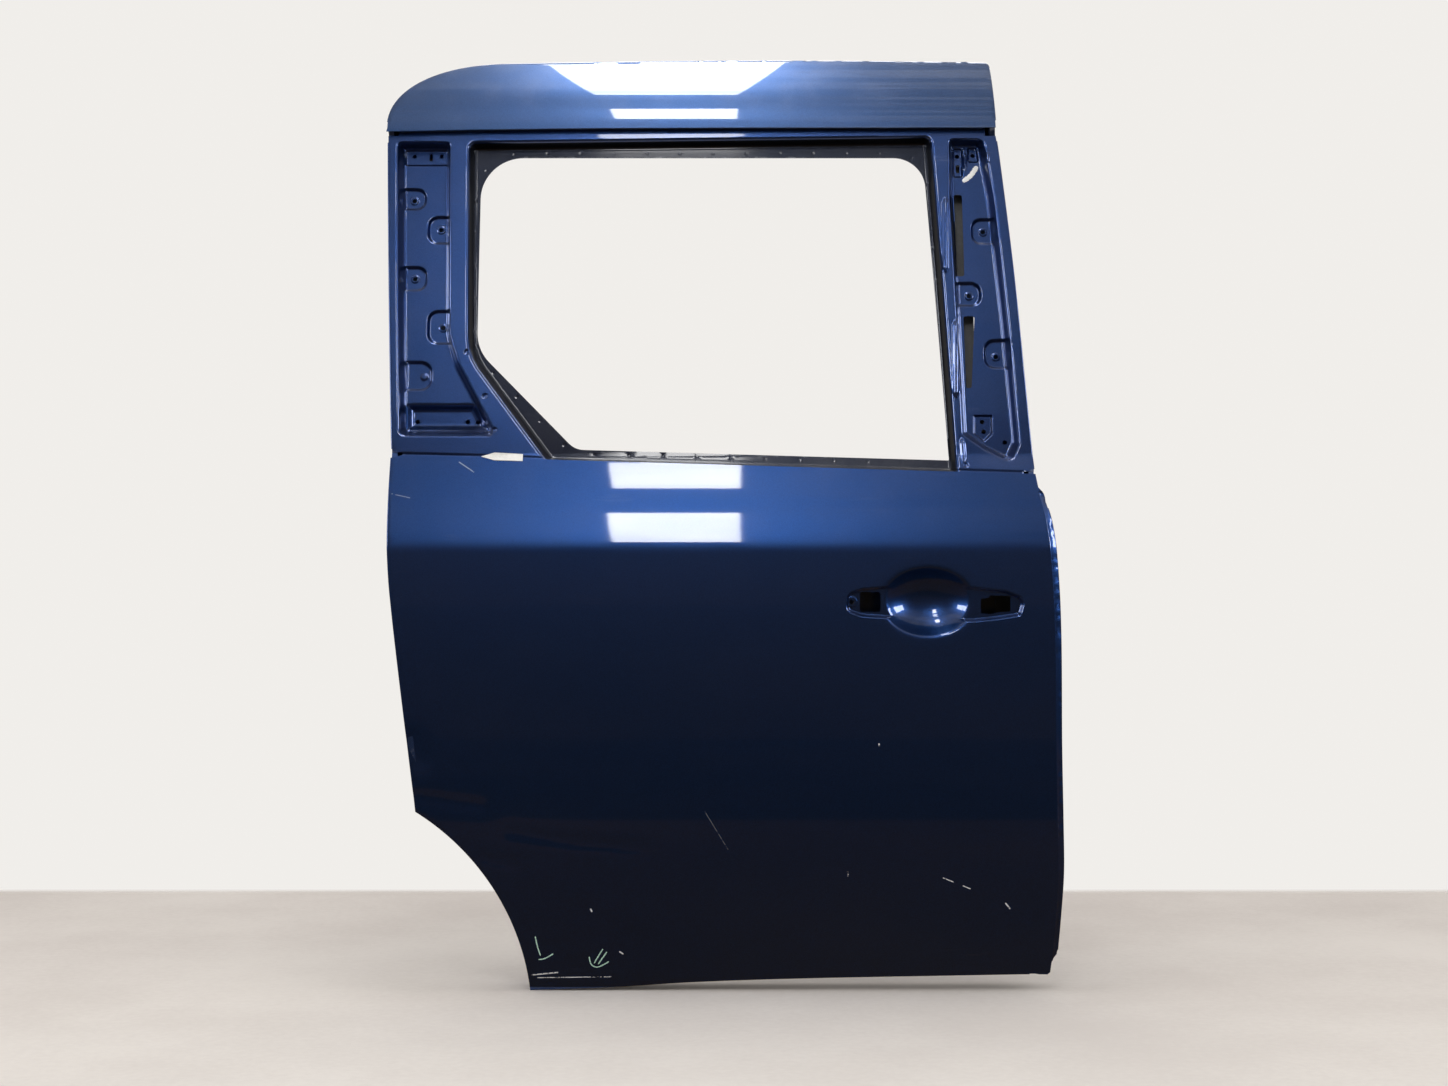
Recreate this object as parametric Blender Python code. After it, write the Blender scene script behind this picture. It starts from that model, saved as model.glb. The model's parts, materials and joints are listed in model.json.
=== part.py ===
"""Sliding side door shell of a compact people carrier, right-hand side, as bare painted sheet metal.

Every stamping is made as a press makes it: a flat blank with its trimmed outline and holes is laid over a
die surface, and then given the thickness of its sheet. The blank lies in the X-Z plane, the die surface gives
each point its depth Y. X runs towards the front of the vehicle, Y into it and Z up. Lengths are in metres.
Door coordinates start at the lowest edge of the outer skin (Z), at the widest point of the skin (Y) and
near the middle of the door (X). One empty then moves everything so that the origin is on the face
where the centre roller arm bolts on.
"""

import math

import bmesh
import bpy
import numpy as np
from mathutils import Vector
from mathutils.geometry import delaunay_2d_cdt

# Sheets, and the clearances between them
SKIN_SHEET = 0.0008
FRAME_SHEET = 0.0009
INNER_SHEET = 0.0008
PLATE_SHEET = 0.0016
RAIL_SHEET = 0.0012
SEAT_GAP = 0.0003
HEM_GAP = 0.00035
HEM_EDGE_GAP = 0.0012
HEM_LIP = 0.0050

# Side section of the outside, from the sill up to the roof
SILL_TUCK = 0.034
SILL_POWER = 2.5
WIDEST_HEIGHT = 0.380
SHOULDER_INSET = 0.008
SHOULDER_DROP = 0.128
SHOULDER_POWER = 1.2
BELT_INSET = 0.050
BELT_HEIGHT = 0.732
SHOULDER_HEIGHT = BELT_HEIGHT - SHOULDER_DROP
PILLAR_LEAN = 0.146
PILLAR_CURVE = 0.108
ROOF_HEIGHT = 1.3068
HEADER_PANEL_HEIGHT = 0.1108
HEADER_HEIGHT = ROOF_HEIGHT - HEADER_PANEL_HEIGHT
HEADER_STANDOFF = 0.011
HEADER_LEAN = 0.26
HEADER_CURVE = 3.5
HEADER_STEP = 0.010

# Outline of the whole door
BELT_REAR_X = -0.457
BELT_FRONT_X = 0.426
BELT_DROP = 0.0265
REAR_TOP_X = -0.4755
FRONT_TOP_X = 0.3840
ROOF_CROWN = 0.040
ROOF_CROWN_X = 0.070
REAR_CORNER_LENGTH = 0.1755
REAR_CORNER_POWER = 2.15
ROOF_FRONT_X = 0.3812
CORNER_RADIUS = 0.008
ARCH_X = -0.592
ARCH_Z = -0.031
ARCH_RADIUS = 0.3287
ARCH_TOP_DROP = 0.0502
ARCH_TOP_Z = ARCH_Z + ARCH_RADIUS - ARCH_TOP_DROP
SILL_FRONT_Z = 0.023
MARGIN_STEP = 0.006
MARGIN_RAMP = 0.002

# Window
GLASS_DEPTH = 0.022
REBATE_WALL = 0.010
WINDOW_TOP = HEADER_HEIGHT - 0.0385
WINDOW_REAR_X = -0.3440
WINDOW_FRONT_TOP_X = 0.2820
WINDOW_FRONT_FOOT_X = 0.3110
WINDOW_FOOT_FRONT_Z = BELT_HEIGHT - 0.0070
WINDOW_FOOT_REAR_Z = BELT_HEIGHT + 0.0080
WINDOW_CORNER_RADIUS = 0.060

# Pillar wells
WELL_DEPTH = 0.022
WELL_WALL = 0.008
SHELF_DEPTH = 0.005
FOOT_SHELF_DEPTH = 0.010
PAD_DEPTH = 0.005
PAD_WALL = 0.003
CLIP_HOLE_RADIUS = 0.0032
RIB_WIDTH = 0.0085
RIB_HEIGHT = 0.0025
RIB_WALL = 0.0025

# Handle recess
HANDLE_X = 0.276
HANDLE_Z = BELT_HEIGHT - 0.2008
CUP_LENGTH = 0.126
CUP_HEIGHT = 0.094
CUP_DEPTH = 0.028
CUP_POWER = 2.4
LOBE_DEPTH = 0.007
LOBE_WALL = 0.004
SEAT_LEVEL = 0.0035
HANDLE_HOLE_HEIGHT = 0.027
REAR_HANDLE_HOLE_X = 0.198
REAR_HANDLE_HOLE_LENGTH = 0.028
FRONT_HANDLE_HOLE_X = 0.368
FRONT_HANDLE_HOLE_LENGTH = 0.040
HANDLE_SCREW_X = 0.173
HANDLE_SCREW_RADIUS = 0.0032

# Inner panel
INNER_DEPTH = 0.088
PILLAR_BOX_DEPTH = 0.044
INNER_FLANGE = 0.0075
INNER_WALL = 0.005
WINDOW_FLANGE = 0.014
WINDOW_WALL = 0.010
BEAD_HEIGHT = 0.006
BOLT_HOLE_RADIUS = 0.0045
NUT_WIDTH = 0.013
NUT_HEIGHT = 0.0065
NUT_HOLE_RADIUS = 0.0035

# Roller arms, locks and what stiffens the door
CARRIAGE_X = -0.385
CARRIAGE_Z = BELT_HEIGHT - 0.122
UPPER_ARM_X = 0.318
UPPER_ARM_Z = HEADER_HEIGHT + 0.1715 * HEADER_PANEL_HEIGHT
LOWER_ARM_X = 0.375
LOWER_ARM_Z = 0.105
FRONT_LOCK_X = 0.398
FRONT_LOCK_Z = BELT_HEIGHT - 0.212
REAR_LOCK_X = -0.382
REAR_LOCK_RISE = 0.1925
REAR_LOCK_Z = ARCH_TOP_Z + REAR_LOCK_RISE
BEAM_RADIUS = 0.0165
BEAM_WALL = 0.0022
BEAM_HEIGHT = 0.300
BEAM_DEPTH = 0.034
BEAM_REAR_X = -0.335
BEAM_FRONT_X = 0.352
BRACKET_HEIGHT = 0.060
STIFFENER_HEIGHT = BELT_HEIGHT - 0.292
STIFFENER_WIDTH = 0.060
STIFFENER_CROWN = 0.010
MASTIC_LENGTH = 0.045
MASTIC_WIDTH = 0.012
MASTIC_THICKNESS = 0.0030
DEADENER_X = -0.050
DEADENER_DROP = 0.074
DEADENER_LENGTH = 0.300
DEADENER_HEIGHT = 0.074
DEADENER_THICKNESS = 0.0020
BELT_RAIL_TOP = 0.012
BELT_RAIL_DEPTH = 0.110
BELT_RAIL_CROWN = 0.016
BELT_RAIL_EDGE = 0.012
INNER_RAIL_REAR_X = -0.335
INNER_RAIL_FRONT_X = 0.395
INNER_RAIL_DROP = 0.032
INNER_RAIL_HEIGHT = 0.078
PILLAR_SLOT_WIDTH = 0.022
PILLAR_SLOT_HEIGHT = 0.110
FRONT_SLOT_X = 0.362
REAR_SLOT_X = -0.418
PILLAR_RAIL_BEAD = 0.006
HEADER_RAIL_REAR_X = -0.330
HEADER_RAIL_FRONT_X = 0.262
HEADER_RAIL_CROWN = 0.010
SEALER_START_X = -0.333
SEALER_END_X = -0.276
SEALER_THICKNESS = 0.0012

# A leaning sheet is this much thicker along Y than square to itself, with room to spare
LEAN_ALLOWANCE = 1.1

LONGEST_EDGE = 0.150
ARC_STEP = math.radians(24)

SECTION_HEIGHTS = np.concatenate([
    np.linspace(-0.060, WIDEST_HEIGHT, 8),
    np.linspace(WIDEST_HEIGHT, SHOULDER_HEIGHT, 5)[1:],
    np.linspace(SHOULDER_HEIGHT, BELT_HEIGHT, 7)[1:],
    np.linspace(BELT_HEIGHT, HEADER_HEIGHT - HEADER_STEP, 7)[1:],
    np.linspace(HEADER_HEIGHT, ROOF_HEIGHT + 0.012, 9),
])


def clear_scene():
    for old in list(bpy.data.objects):
        bpy.data.objects.remove(old, do_unlink=True)


def metal(name, colour, roughness=0.3, metallic=0.6):
    material = bpy.data.materials.new(name)
    material.use_nodes = True
    shader = material.node_tree.nodes["Principled BSDF"]
    shader.inputs["Base Color"].default_value = (*colour, 1.0)
    shader.inputs["Roughness"].default_value = roughness
    shader.inputs["Metallic"].default_value = metallic
    material.diffuse_color = (*colour, 1.0)
    return material


# Surfaces: each gives the depth Y for blank points X, Z

def side_section(z):
    """The smooth side section of skin and pillars."""
    z = np.asarray(z, float)
    tuck = SILL_TUCK * np.clip((WIDEST_HEIGHT - z) / WIDEST_HEIGHT, 0, None) ** SILL_POWER
    barrel = np.clip((z - WIDEST_HEIGHT) / (SHOULDER_HEIGHT - WIDEST_HEIGHT), 0, 1) ** 2
    shoulder = np.clip((z - SHOULDER_HEIGHT) / (BELT_HEIGHT - SHOULDER_HEIGHT), 0, 1) ** SHOULDER_POWER
    above = np.clip(z - BELT_HEIGHT, 0, None)
    pillar = PILLAR_LEAN * above + PILLAR_CURVE * above ** 2
    return tuck + SHOULDER_INSET * barrel + (BELT_INSET - SHOULDER_INSET) * shoulder + pillar


def header_section(z):
    """The header stands proud of the pillars at its foot and curves away into the roof."""
    rise = np.asarray(z, float) - HEADER_HEIGHT
    foot = side_section(HEADER_HEIGHT) - HEADER_STANDOFF
    return foot + HEADER_LEAN * rise + HEADER_CURVE * np.clip(rise, 0, None) ** 2


def at_sections(section, z):
    """Sheets meet the section at the same heights, so that sheets laid on each other stay parallel."""
    return np.interp(z, SECTION_HEIGHTS, section(SECTION_HEIGHTS))


def pillar_face(x, z):
    return at_sections(side_section, z)


def header_face(x, z):
    return at_sections(header_section, z)


def door_face(x, z):
    """Pillars and skin below the header, the header above."""
    whole = np.where(
        SECTION_HEIGHTS < HEADER_HEIGHT - HEADER_STEP / 2,
        side_section(SECTION_HEIGHTS),
        header_section(SECTION_HEIGHTS),
    )
    return np.interp(z, SECTION_HEIGHTS, whole)


def behind(face, distance):
    """The surface that lies this far behind a face, measured square to it."""
    def surface(x, z):
        reach = 0.002
        slope = (face(x, z + reach) - face(x, z - reach)) / (2 * reach)
        return face(x, z) + distance * np.sqrt(1 + slope ** 2)
    return surface


def flat(depth):
    return lambda x, z: np.full_like(np.asarray(z, float), depth)


def pan_face(x, z):
    """Main plane of the inner panel: upright below the belt, parallel to the pillars above it."""
    return np.maximum(INNER_DEPTH, pillar_face(x, z) + PILLAR_BOX_DEPTH)


def upper_arm_depth():
    """The upper arm's upright pad is level with the inner panel at the middle of the pad."""
    return float(pan_face(UPPER_ARM_X, UPPER_ARM_Z))


# Outlines in the plane of the blank

def belt_height(x):
    share = (x - BELT_REAR_X) / (BELT_FRONT_X - BELT_REAR_X)
    return BELT_HEIGHT - BELT_DROP * share


def up_skin(share):
    """A height on the lower skin, as a share of the way from the sill up to the belt."""
    return BELT_HEIGHT * share


def up_pillar(share):
    """A height on the pillars, as a share of the way from the belt up to the header."""
    return BELT_HEIGHT + (HEADER_HEIGHT - BELT_HEIGHT) * share


def on_skin(corners):
    """Corners whose heights are given as shares of the lower skin's height."""
    return [(corner[0], up_skin(corner[1]), *corner[2:]) for corner in corners]


def on_pillar(corners):
    """Corners whose heights are given as shares of the pillars' height."""
    return [(corner[0], up_pillar(corner[1]), *corner[2:]) for corner in corners]


def up_header(share):
    """A height on the header, as a share of the way from its foot up to the roof."""
    return HEADER_HEIGHT + HEADER_PANEL_HEIGHT * share


def rounded(corners, radius, inset=0.0):
    """A closed outline through corners (x, z[, radius]), moved in by inset, each corner an arc."""
    count = len(corners)
    points = [Vector(c[:2]) for c in corners]
    radii = [c[2] if len(c) > 2 else radius for c in corners]
    moved = []
    for i, point in enumerate(points):
        into = (point - points[i - 1]).normalized()
        out = (points[(i + 1) % count] - point).normalized()
        first = Vector((-into.y, into.x))
        second = Vector((-out.y, out.x))
        moved.append(point + (first + second) * (inset / (1 + first.dot(second))))
    outline = []
    for i, point in enumerate(moved):
        back = moved[i - 1] - point
        ahead = moved[(i + 1) % count] - point
        turn = math.pi - back.angle(ahead)
        convex = back.x * ahead.y - back.y * ahead.x < 0
        size = max(radii[i] - inset, 0.0015) if convex else radii[i] + inset
        if radii[i] == 0 or turn < math.radians(4):
            outline.append(tuple(point))
            continue
        reach = min(size * math.tan(turn / 2), 0.45 * back.length, 0.45 * ahead.length)
        size = reach / math.tan(turn / 2)
        start = point + back.normalized() * reach
        centre = point + (back.normalized() + ahead.normalized()).normalized() * (size / math.cos(turn / 2))
        steps = max(2, math.ceil(turn / ARC_STEP))
        for k in range(steps + 1):
            angle = turn * k / steps * (1 if convex else -1)
            spoke = start - centre
            outline.append((
                centre.x + spoke.x * math.cos(angle) - spoke.y * math.sin(angle),
                centre.y + spoke.x * math.sin(angle) + spoke.y * math.cos(angle),
            ))
    return outline


def circle(x, z, radius, count=8):
    return [(x + radius * math.cos(math.tau * k / count), z + radius * math.sin(math.tau * k / count))
            for k in range(count)]


def box(x, z, width, height):
    """Corners of an upright rectangle about a centre."""
    return [(x - width / 2, z - height / 2), (x + width / 2, z - height / 2),
            (x + width / 2, z + height / 2), (x - width / 2, z + height / 2)]


def slot(x, z, width, height):
    return rounded(box(x, z, width, height), min(width, height) / 2)


def oval(x, z, length, height, count=28):
    return [(x + length / 2 * math.cos(math.tau * k / count), z + height / 2 * math.sin(math.tau * k / count))
            for k in range(count)]


def through(points, per_span=2):
    """A smooth curve through the given points."""
    path = [Vector(p) for p in points]
    path = [2 * path[0] - path[1]] + path + [2 * path[-1] - path[-2]]
    curve = []
    for i in range(1, len(path) - 2):
        p0, p1, p2, p3 = path[i - 1:i + 3]
        for k in range(per_span):
            t = k / per_span
            point = 0.5 * (2 * p1 + (p2 - p0) * t + (2 * p0 - 5 * p1 + 4 * p2 - p3) * t ** 2
                           + (3 * p1 - p0 - 3 * p2 + p3) * t ** 3)
            curve.append(tuple(point))
    return curve + [tuple(path[-2])]


def arch_run():
    """The wheel arch, from its top at the rear edge down to the sill."""
    start = math.asin((ARCH_TOP_Z - ARCH_Z) / ARCH_RADIUS)
    end = math.asin(-ARCH_Z / ARCH_RADIUS)
    steps = 9
    angles = [start + (end - start) * k / steps for k in range(steps + 1)]
    return [(ARCH_X + ARCH_RADIUS * math.cos(a), ARCH_Z + ARCH_RADIUS * math.sin(a)) for a in angles]


def sill_run():
    """Bottom edge from the arch towards the front corner."""
    rise = SILL_FRONT_Z
    return [(-0.150, 0.19 * rise), (-0.040, 0.50 * rise), (0.120, 0.74 * rise),
            (0.4150, rise), (0.4300, rise)]


def notch_run():
    """The front corner and the slanted notch under the front margin."""
    rise = SILL_FRONT_Z
    return [(0.4410, rise), (0.4446, rise + 0.003), (0.4462, rise + 0.018), (0.4548, up_skin(0.0690))]


def front_run():
    """Front edge of the lower skin, from the notch up to the belt."""
    edge = [(0.4587, 0.1407), (0.4616, 0.2254), (0.4600, 0.3279), (0.4578, 0.4645), (0.4570, 0.6626),
            (0.4540, 0.7760), (0.4478, 0.8689), (0.4370, 0.9262)]
    ends = [(0.4290, up_skin(0.9385)), (BELT_FRONT_X, belt_height(BELT_FRONT_X))]
    return [(0.4556, up_skin(0.0765))] + through(on_skin(edge)) + ends


def front_pillar_run():
    middle = on_pillar([(0.4185, 0.1466), (0.4050, 0.5345), (0.3900, 0.8793)])
    return through([(BELT_FRONT_X, belt_height(BELT_FRONT_X))] + middle
                   + [(FRONT_TOP_X, HEADER_HEIGHT - 0.002)])


def roof_run():
    """Front edge of the header, the roof line and the round rear corner."""
    top = lambda x: ROOF_HEIGHT - ROOF_CROWN * (x - ROOF_CROWN_X) ** 2
    front = ROOF_FRONT_X
    cut = 0.3 * CORNER_RADIUS
    corner = [(front, top(front) - CORNER_RADIUS), (front - cut, top(front) - cut),
              (front - CORNER_RADIUS, top(front))]
    joint = REAR_TOP_X + REAR_CORNER_LENGTH
    foot = HEADER_HEIGHT + 0.001
    roof = [(x, top(x)) for x in np.linspace(front - 0.06, joint, 8)]
    rise = top(joint) - foot
    steps = 9
    rear = []
    for k in range(1, steps + 1):
        angle = math.pi / 2 * k / steps
        rear.append((joint - REAR_CORNER_LENGTH * math.sin(angle) ** (2 / REAR_CORNER_POWER),
                     foot + rise * math.cos(angle) ** (2 / REAR_CORNER_POWER) if k < steps else foot))
    return corner + roof + rear


def rear_pillar_run():
    middle = (-0.4660, up_pillar(0.4677))
    return through([(REAR_TOP_X, HEADER_HEIGHT - 0.004), middle, (BELT_REAR_X, BELT_HEIGHT)])


def rear_run():
    """Rear edge of the lower skin, from the belt down to the top of the arch."""
    foot = arch_run()[0]
    belt_end = (BELT_REAR_X - 0.0008, BELT_HEIGHT - 0.004)
    edge = on_skin([(-0.4580, 0.9085), (-0.4560, 0.7992), (-0.4480, 0.6831)])
    return through([belt_end] + edge + [(foot[0] - 0.0020, foot[1] + 0.018)]) + [foot]


def skin_outline():
    belt = [(x, belt_height(x)) for x in np.linspace(BELT_FRONT_X, BELT_REAR_X, 9)[1:-1]]
    return arch_run()[-1:] + sill_run() + notch_run() + front_run() + belt + rear_run() + arch_run()[1:-1]


def door_outline():
    """The perimeter that the inner panel follows; it cuts the notched corner off."""
    return (arch_run()[-1:] + sill_run() + front_run()[:-1] + front_pillar_run() + roof_run()
            + rear_pillar_run()[:-1] + rear_run() + arch_run()[1:-1])


def shifted(outline, inset):
    """A closed outline moved inward by inset, point by point."""
    count = len(outline)
    points = [Vector(p) for p in outline]
    moved = []
    for i, point in enumerate(points):
        into = (point - points[i - 1]).normalized()
        out = (points[(i + 1) % count] - point).normalized()
        first = Vector((-into.y, into.x))
        second = Vector((-out.y, out.x))
        moved.append(tuple(point + (first + second) * (inset / max(1 + first.dot(second), 0.5))))
    return moved


# Pressing a blank

def crossings(outline, x, z):
    """How many times a ray from each point crosses the outline, as odd or even."""
    inside = np.zeros(len(x), bool)
    x1, z1 = np.array(outline).T
    x2, z2 = np.roll(x1, -1), np.roll(z1, -1)
    for ax, az, bx, bz in zip(x1, z1, x2, z2):
        if az == bz:
            continue
        spans = (az > z) != (bz > z)
        inside ^= spans & (x < (bx - ax) * (z - az) / (bz - az) + ax)
    return inside


def distance(outline, x, z):
    nearest = np.full(len(x), np.inf)
    count = len(outline)
    for i in range(count):
        ax, az = outline[i]
        bx, bz = outline[(i + 1) % count]
        dx, dz = bx - ax, bz - az
        share = np.clip(((x - ax) * dx + (z - az) * dz) / (dx * dx + dz * dz), 0, 1)
        nearest = np.minimum(nearest, np.hypot(x - ax - share * dx, z - az - share * dz))
    return nearest


class Pressing:
    """A pressed form: nothing outside its rim, fully formed inside its floor, a wall between them."""

    def __init__(self, rim, floor, shift):
        self.rim = rim
        self.floor = floor
        self.shift = shift if callable(shift) else lambda x, z, y: np.full(len(x), shift)

    def share(self, x, z):
        to_rim = distance(self.rim, x, z)
        to_floor = distance(self.floor, x, z)
        part = to_rim / (to_rim + to_floor + 1e-12)
        part[crossings(self.floor, x, z) | (to_floor < 2e-5)] = 1
        part[~crossings(self.rim, x, z) & (to_rim > 2e-5)] = 0
        return part


def pressed(corners, radius, wall, shift, inset=0.0):
    """A pressing from one set of corners, with a wall of even width."""
    return Pressing(rounded(corners, radius, inset), rounded(corners, radius, inset + wall), shift)


def onto(surface):
    """A shift that brings the sheet onto a given surface."""
    return lambda x, z, y: surface(x, z) - y


def close_segments(outline, longest):
    """The outline with its long edges divided."""
    points = []
    count = len(outline)
    for i, start in enumerate(outline):
        end = outline[(i + 1) % count]
        steps = max(1, math.ceil(math.dist(start, end) / longest))
        for k in range(steps):
            part = k / steps
            points.append((start[0] + (end[0] - start[0]) * part, start[1] + (end[1] - start[1]) * part))
    return points


class Blank:
    """A flat blank with holes, pressed into shape: its points, triangles and outer edge."""

    def __init__(self, outline, surface, holes=(), pressings=(), sections=True, lines=(),
                 longest=LONGEST_EDGE):
        self.outline = outline
        self.surface = surface
        self.pressings = list(pressings)
        corners = []
        edges = []
        loops = [outline] + list(holes) + [loop for p in self.pressings for loop in (p.rim, p.floor)]
        for loop in loops:
            loop = close_segments(loop, longest)
            first = len(corners)
            corners += [Vector(point) for point in loop]
            edges += [(first + k, first + (k + 1) % len(loop)) for k in range(len(loop))]
        xs = [p[0] for p in outline]
        zs = [p[1] for p in outline]
        runs = list(lines)
        if sections:
            runs += [[(min(xs) - 0.01, z), (max(xs) + 0.01, z)]
                     for z in SECTION_HEIGHTS if min(zs) + 0.001 < z < max(zs) - 0.001]
        for run in runs:
            first = len(corners)
            corners += [Vector(point) for point in run]
            edges += [(first + k, first + k + 1) for k in range(len(run) - 1)]
        found = delaunay_2d_cdt(corners, edges, [], 0, 2e-5)
        points = np.array([tuple(v) for v in found[0]])
        triangles = np.array([f for f in found[2] if len(f) == 3])
        middle = points[triangles].mean(axis=1)
        keep = crossings(outline, middle[:, 0], middle[:, 1])
        for hole in holes:
            keep &= ~crossings(hole, middle[:, 0], middle[:, 1])
        triangles = triangles[keep]
        used, index = np.unique(triangles, return_inverse=True)
        self.points = points[used]
        self.triangles = index.reshape(-1, 3)

    def depth(self, x, z):
        x = np.atleast_1d(np.asarray(x, float))
        z = np.atleast_1d(np.asarray(z, float))
        y = np.array(self.surface(x, z), float)
        for form in self.pressings:
            y = y + form.share(x, z) * form.shift(x, z, y)
        return y

    def mesh(self):
        bm = bmesh.new()
        y = self.depth(self.points[:, 0], self.points[:, 1])
        verts = [bm.verts.new((p[0], depth, p[1])) for p, depth in zip(self.points, y)]
        for a, b, c in self.triangles:
            flip = np.cross(self.points[b] - self.points[a], self.points[c] - self.points[a]) < 0
            bm.faces.new([verts[i] for i in ((a, c, b) if flip else (a, b, c))])
        bm.normal_update()
        return bm


def outer_edges(bm, blank):
    """The edges of a pressed sheet that lie on its trimmed outline."""
    found = []
    for edge in bm.edges:
        ends = np.array([v.co.xz for v in edge.verts])
        if edge.is_boundary and (distance(blank.outline, ends[:, 0], ends[:, 1]) < 1e-4).all():
            found.append(edge)
    return found


def fold_hem(bm, blank, belongs, height, lip=HEM_LIP):
    """Folds the outer edge of a sheet back and then inward, where belongs(x, z) holds."""
    ends = {}
    for edge in outer_edges(bm, blank):
        if all(belongs(v.co.x, v.co.z) for v in edge.verts):
            face = edge.link_faces[0]
            loop = next(l for l in face.loops if l.edge == edge)
            start, end = loop.vert, loop.link_loop_next.vert
            run = Vector((end.co.x - start.co.x, end.co.z - start.co.z)).normalized()
            inward = Vector((-run.y, run.x))
            ends.setdefault(start, {})["out"] = (end, inward)
            ends.setdefault(end, {})["in"] = (start, inward)
    wall, edge_of_lip = {}, {}
    for vert, sides in ends.items():
        normals = [side[1] for side in sides.values()]
        total = sum(normals, Vector((0, 0)))
        step = total / (1 + normals[0].dot(normals[1])) if len(normals) == 2 else total
        if step.length > 1.6:
            step = step.normalized() * 1.6
        x, z = vert.co.x, vert.co.z
        back = square_in(blank.surface, x, z)
        wall[vert] = bm.verts.new(vert.co + back * height)
        lip_x, lip_z = x + step.x * lip, z + step.y * lip / math.hypot(1, back.z / back.y)
        lip_y = float(blank.depth(lip_x, lip_z)[0])
        lip_back = square_in(blank.surface, lip_x, lip_z)
        edge_of_lip[vert] = bm.verts.new(Vector((lip_x, lip_y, lip_z)) + lip_back * height)
    for vert, sides in ends.items():
        if "out" in sides:
            end = sides["out"][0]
            bm.faces.new((end, vert, wall[vert], wall[end]))
            bm.faces.new((wall[end], wall[vert], edge_of_lip[vert], edge_of_lip[end]))
    bm.normal_update()


def square_in(surface, x, z):
    """Direction square to a surface, into the vehicle."""
    reach = 0.002
    ahead = surface(np.array([x]), np.array([z + reach]))
    behind_it = surface(np.array([x]), np.array([z - reach]))
    slope = float((ahead - behind_it)[0]) / (2 * reach)
    return Vector((0, 1, -slope)).normalized()


# Objects

DATUM = Vector((CARRIAGE_X, INNER_DEPTH + INNER_SHEET, CARRIAGE_Z))


def make_object(name, bm, material, sheet=None, smooth_below=35, inward=True):
    """Turns a pressed surface into an object, with its sheet thickness grown towards the vehicle's inside."""
    mesh = bpy.data.meshes.new(name)
    bm.to_mesh(mesh)
    bm.free()
    part = bpy.data.objects.new(name, mesh)
    bpy.context.scene.collection.objects.link(part)
    part.parent = bpy.data.objects["door_datum"]
    mesh.materials.append(material)
    mesh.shade_smooth()
    mesh.set_sharp_from_angle(angle=math.radians(smooth_below))
    if sheet:
        solid = part.modifiers.new("sheet", "SOLIDIFY")
        solid.thickness = sheet
        solid.offset = -1 if inward else 1
        solid.use_even_offset = True
        solid.use_quality_normals = True
    return part


def make_sheet(name, blank, material, sheet):
    return make_object(name, blank.mesh(), material, sheet)


def nut(name, x, z, face, material):
    """A hexagonal weld nut whose back lies on a plate, standing into the door's cavity."""
    hexagon = circle(x, z, NUT_WIDTH / math.sqrt(3), 6)
    blank = Blank(hexagon, flat(face - NUT_HEIGHT - SEAT_GAP), holes=[circle(x, z, NUT_HOLE_RADIUS)],
                  sections=False)
    return make_sheet(name, blank, material, NUT_HEIGHT)


# Features that pieces share

def window_corners():
    return [(WINDOW_REAR_X, up_pillar(0.3190)), (-0.2060, WINDOW_FOOT_REAR_Z, 0.030),
            (WINDOW_FRONT_FOOT_X, WINDOW_FOOT_FRONT_Z, 0.002), (WINDOW_FRONT_TOP_X, WINDOW_TOP, 0.045),
            (WINDOW_REAR_X, WINDOW_TOP)]


def window_edge(inset=0.0):
    return rounded(window_corners(), WINDOW_CORNER_RADIUS, inset)


def rebate_corners():
    """Rim of the step in which the glass sits."""
    foot_rear, foot_front = -0.2440, 0.3220
    below = 0.0050
    feet = [(foot_rear, belt_height(foot_rear) - below, 0.02),
            (foot_front, belt_height(foot_front) - below, 0.003)]
    heads = on_pillar([(0.2940, 0.9802, 0.012), (-0.3620, 0.9623, 0.012)])
    return on_pillar([(-0.3560, 0.2974, 0.08)]) + feet + heads


def rebate():
    corners = rebate_corners()
    return Pressing(rounded(corners, 0.02), rounded(corners, 0.02, REBATE_WALL), GLASS_DEPTH)


def pad(x, z, width, height, toward, deeper=PAD_DEPTH):
    """A D-shaped pad: straight on the side where it meets the well's wall, round on the other."""
    half = height / 2
    corners = [(x, z - half, 0), (x, z + half, 0), (x + toward * width, z + half, half * 0.98),
               (x + toward * width, z - half, half * 0.98)]
    if toward > 0:
        corners.reverse()
    return pressed(corners, half, PAD_WALL, deeper)


def clip_holes(places):
    """Round holes for the trim's clips, each at an X and a share of the pillar's height."""
    return [circle(x, up_pillar(share), CLIP_HOLE_RADIUS) for x, share in places]


def rib(low_x, low_z, high_x, high_z):
    """A narrow raised bead with pointed ends."""
    half = RIB_WIDTH / 2
    corners = [(low_x - half, low_z + RIB_WIDTH, 0), (low_x, low_z), (low_x + half, low_z + RIB_WIDTH, 0),
               (high_x + half, high_z - RIB_WIDTH, 0), (high_x, high_z),
               (high_x - half, high_z - RIB_WIDTH, 0)]
    return pressed(corners, 0.003, RIB_WALL, -RIB_HEIGHT)


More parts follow.
